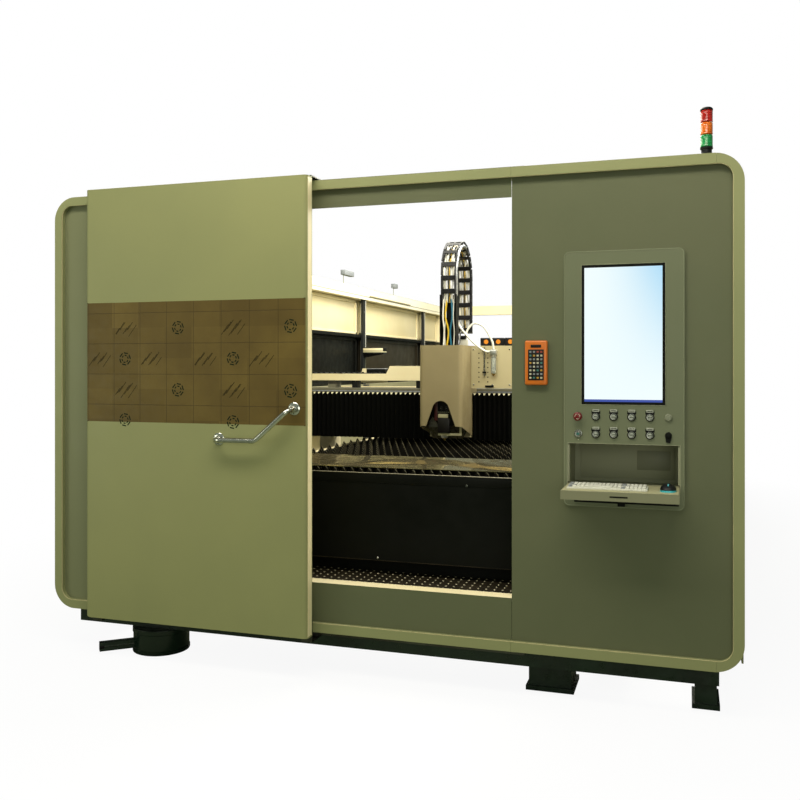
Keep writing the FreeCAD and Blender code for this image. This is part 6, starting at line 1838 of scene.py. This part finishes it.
    def stack(self) -> None:
        """Stack light: ribbed lenses between black rings, domed cap."""
        base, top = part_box("stack_green"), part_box("stack_red")
        x, y = (base[0][0] + base[1][0]) / 2, (base[0][1] + base[1][1]) / 2
        wide, ring = self.lens_radius, self.cap_radius
        for name in ("green", "amber", "red"):
            low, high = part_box("stack_" + name)
            piece = Piece("lens_ribs_" + name, "lens_" + name)
            tall = high[2] - low[2]
            profile = [(0.0235, 0.001), (wide, 0.004)]
            for k in range(6):
                z = 0.006 + k * (tall - 0.014) / 6
                profile += [(wide, z), (0.0250, z + 0.0035)]
            profile += [(wide, tall - 0.005), (0.0235, tall - 0.001)]
            piece.lathe((x, y, low[2]), Axis.Z, profile, "lens_" + name, 36)
            piece.on("machine", "stack_" + name)
        ends = Piece("stack_caps", "black_plastic")
        ends.lathe((x, y, base[0][2] - 0.034), Axis.Z, [(ring, 0), (ring, 0.006), (0.0225, 0.010),
                   (0.0225, 0.024), (ring, 0.028), (ring, 0.034)], "black_plastic", 36)
        ends.lathe((x, y, top[1][2]), Axis.Z, [(ring, 0), (ring, 0.006), (0.022, 0.0115), (0.010, 0.0137),
                   (0.001, 0.0139)], "black_plastic", 36)
        ends.on("machine", "stack_ends")

    def feet(self) -> None:
        """Glossy sleeve and lever of the front left foot, and the bolts of the front right one."""
        piece = Piece("foot_details", "foot_gloss")
        wide, foot_top = self.foot_radius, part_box("base_frame")[0][2]
        foot, way = Vector((-1.20, self.face + 0.162, 0)), Vector((-0.76, -0.65, 0))
        piece.lathe(foot, Axis.Z, [
            (0.150, 0.0), (wide, 0.004), (wide, 0.018), (0.1485, 0.022), (0.1485, foot_top - 0.026),
            (wide, foot_top - 0.022), (wide, foot_top - 0.002)], "foot_gloss", 48)
        level = Vector((0, 0, 0.045))
        for start, end, radius, slot in (
                (0.14, 0.318, 0.0225, "foot_gloss"), (0.300, 0.323, 0.0235, "seal_black")):
            piece.tube([foot + way * start + level, foot + way * end + level], radius, slot, 24)
        for x, z in ((0.845, 0.098), (0.985, 0.098), (0.845, 0.055), (0.985, 0.055)):
            piece.screw((x, self.face + 0.1675, z), Axis.Y, 0.011)
        piece.on("machine")

    def outside(self) -> None:
        """Screws along the rear portal."""
        rear = Piece("rear_details", "cream")
        for k in range(5):
            rear.screw((-1.6 + 0.8 * k, self.rear - 0.001, 0.83), Axis.Y, 0.008, "ring_silver", -1)
        rear.on("machine")


# ------------------------------------------------------------
# Stage
# ------------------------------------------------------------
@dataclass(frozen=True)
class SoftLight:
    """A soft rectangular studio light that faces a point.

    Attributes:
        name: name of the light.
        place: where it stands.
        target: point that it faces.
        size: width and height.
        watts: power.
        colour: colour of its light.
    """

    name: str
    place: Point
    target: Point
    size: tuple[float, float]
    watts: float
    colour: str

    def add(self, face: float) -> None:
        """Add the light to the scene.

        Args:
            face: Y of the machine's front face, from which the places are measured.
        """
        front = Vector((0, face, 0))
        place, target = Vector(self.place) + front, Vector(self.target) + front
        data = bpy.data.lights.new(self.name, "AREA")
        data.shape, (data.size, data.size_y) = "RECTANGLE", self.size
        data.energy, data.color = self.watts, linear(self.colour)[:3]
        item = bpy.data.objects.new(self.name, data)
        item.location = place
        item.rotation_euler = (target - place).to_track_quat("-Z", "Y").to_euler()
        bpy.context.scene.collection.objects.link(item)


@dataclass
class Studio:
    """White surroundings, a pale floor that fades into them, soft lights and the camera."""

    fade_x: float = 4.2
    fade_y: float = 6.6
    eye: Point = (1.534, -4.06, 1.54)
    heading: float = 17.9
    lens: float = 39.96
    shift: float = -0.0425

    def __post_init__(self) -> None:
        self.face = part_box("front_border")[0][1]

    @staticmethod
    def surroundings() -> None:
        """White background for the camera, and a dimmer tinted one that lights the machine."""
        graph = Graph(bpy.data.worlds.new("studio"))
        bpy.context.scene.world = graph.owner
        direct = graph.add("LightPath", out="Is Camera Ray")
        lit, seen = graph.add("Background", "#E6F2DA", 0.30), graph.add("Background", "#FFFFFF", 1.0)
        graph.add("OutputWorld", graph.add("MixShader", direct, lit, seen))

    def floor(self) -> None:
        """Pale floor round the machine that fades into the white background."""
        graph = new_graph("floor")
        add = graph.add
        shares = (add("Math", graph.axis(k), reach, operation="DIVIDE")
                  for k, reach in ((0, self.fade_x), (1, self.fade_y)))
        across, along = (add("Math", share, 2.0, operation="POWER") for share in shares)
        reach = add("Math", add("Math", across, along, operation="ADD"), operation="SQRT")
        fade = add("MapRange", reach, 0.55, 1.0, 0.92, 1.0)
        shown = add("MixShader", fade, add("BsdfDiffuse", "#FBFBF8"), add("Emission", "#FFFFFF", 1.0))
        bounce, direct = add("BsdfDiffuse", "#7C8470"), add("LightPath", out="Is Camera Ray")
        add("OutputMaterial", add("MixShader", direct, bounce, shown))
        data = bpy.data.meshes.new("floor")
        mesh = bmesh.new()
        bmesh.ops.create_grid(mesh, x_segments=1, y_segments=1, size=30)
        mesh.to_mesh(data)
        mesh.free()
        data.materials.append(graph.owner)
        floor = bpy.data.objects.new("floor", data)
        floor.location.z = -0.0005
        bpy.context.scene.collection.objects.link(floor)

    def lights(self) -> None:
        """Soft lights over and in front of the machine."""
        middle = 0.4 - self.face
        for light in (
                SoftLight("ceiling", (0, middle, 4.6), (0, middle, 0), (3.0, 7.4), 420, "#FFFAEC"),
                SoftLight("bay_wash", (1.0, 3.3, 4.0), (-1.6, 3.3, 1.6), (1.5, 2.5), 150, "#FFFDF2"),
                SoftLight("inner_front", (0.5, 0.75, 3.0), (0, 2.0, 1.3), (1.6, 0.5), 20, "#FFFAEC"),
                SoftLight("inner_right", (1.5, 1.6, 2.5), (0.1, 1.9, 1.4), (0.5, 0.9), 28, "#FFF8E6"),
                SoftLight("front_top", (0.1, -1.9, 4.4), (0.1, 0, 1.5), (4.6, 1.0), 126, "#FFF9E8"),
                SoftLight("left_side", (-4.6, -3.2, 1.5), (-0.9, 0, 1.1), (2.2, 2.0), 46, "#F3F6DC"),
                SoftLight("fill", (2.6, -5.2, 1.7), (0.6, 0, 1.2), (3.0, 2.4), 54, "#F6F8E6")):
            light.add(self.face)

    def camera(self) -> None:
        """Camera at the place from which the photograph was taken."""
        data = bpy.data.cameras.new("view")
        data.sensor_width, data.lens, data.shift_y, data.clip_end = 36.0, self.lens, self.shift, 100
        item = bpy.data.objects.new("view", data)
        item.location = Vector(self.eye) + Vector((0, self.face, 0))
        item.rotation_euler = (math.radians(90), 0, math.radians(self.heading))
        bpy.context.scene.collection.objects.link(item)
        bpy.context.scene.camera = item


def main() -> None:
    """Load the frame, dress it and set up the studio."""
    logging.basicConfig(level=logging.INFO, format="%(message)s")
    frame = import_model()
    studio = Studio()
    studio.camera()
    bpy.context.scene.view_settings.view_transform = "Standard"
    dress_nodes(frame)
    for part in (Machine(), Pallet(), Gantry(), Carriage(), Door(), Console()):
        part.build()
        log.info("built %s", type(part).__name__)
    studio.surroundings()
    studio.floor()
    studio.lights()


if __name__ == "__main__":
    main()
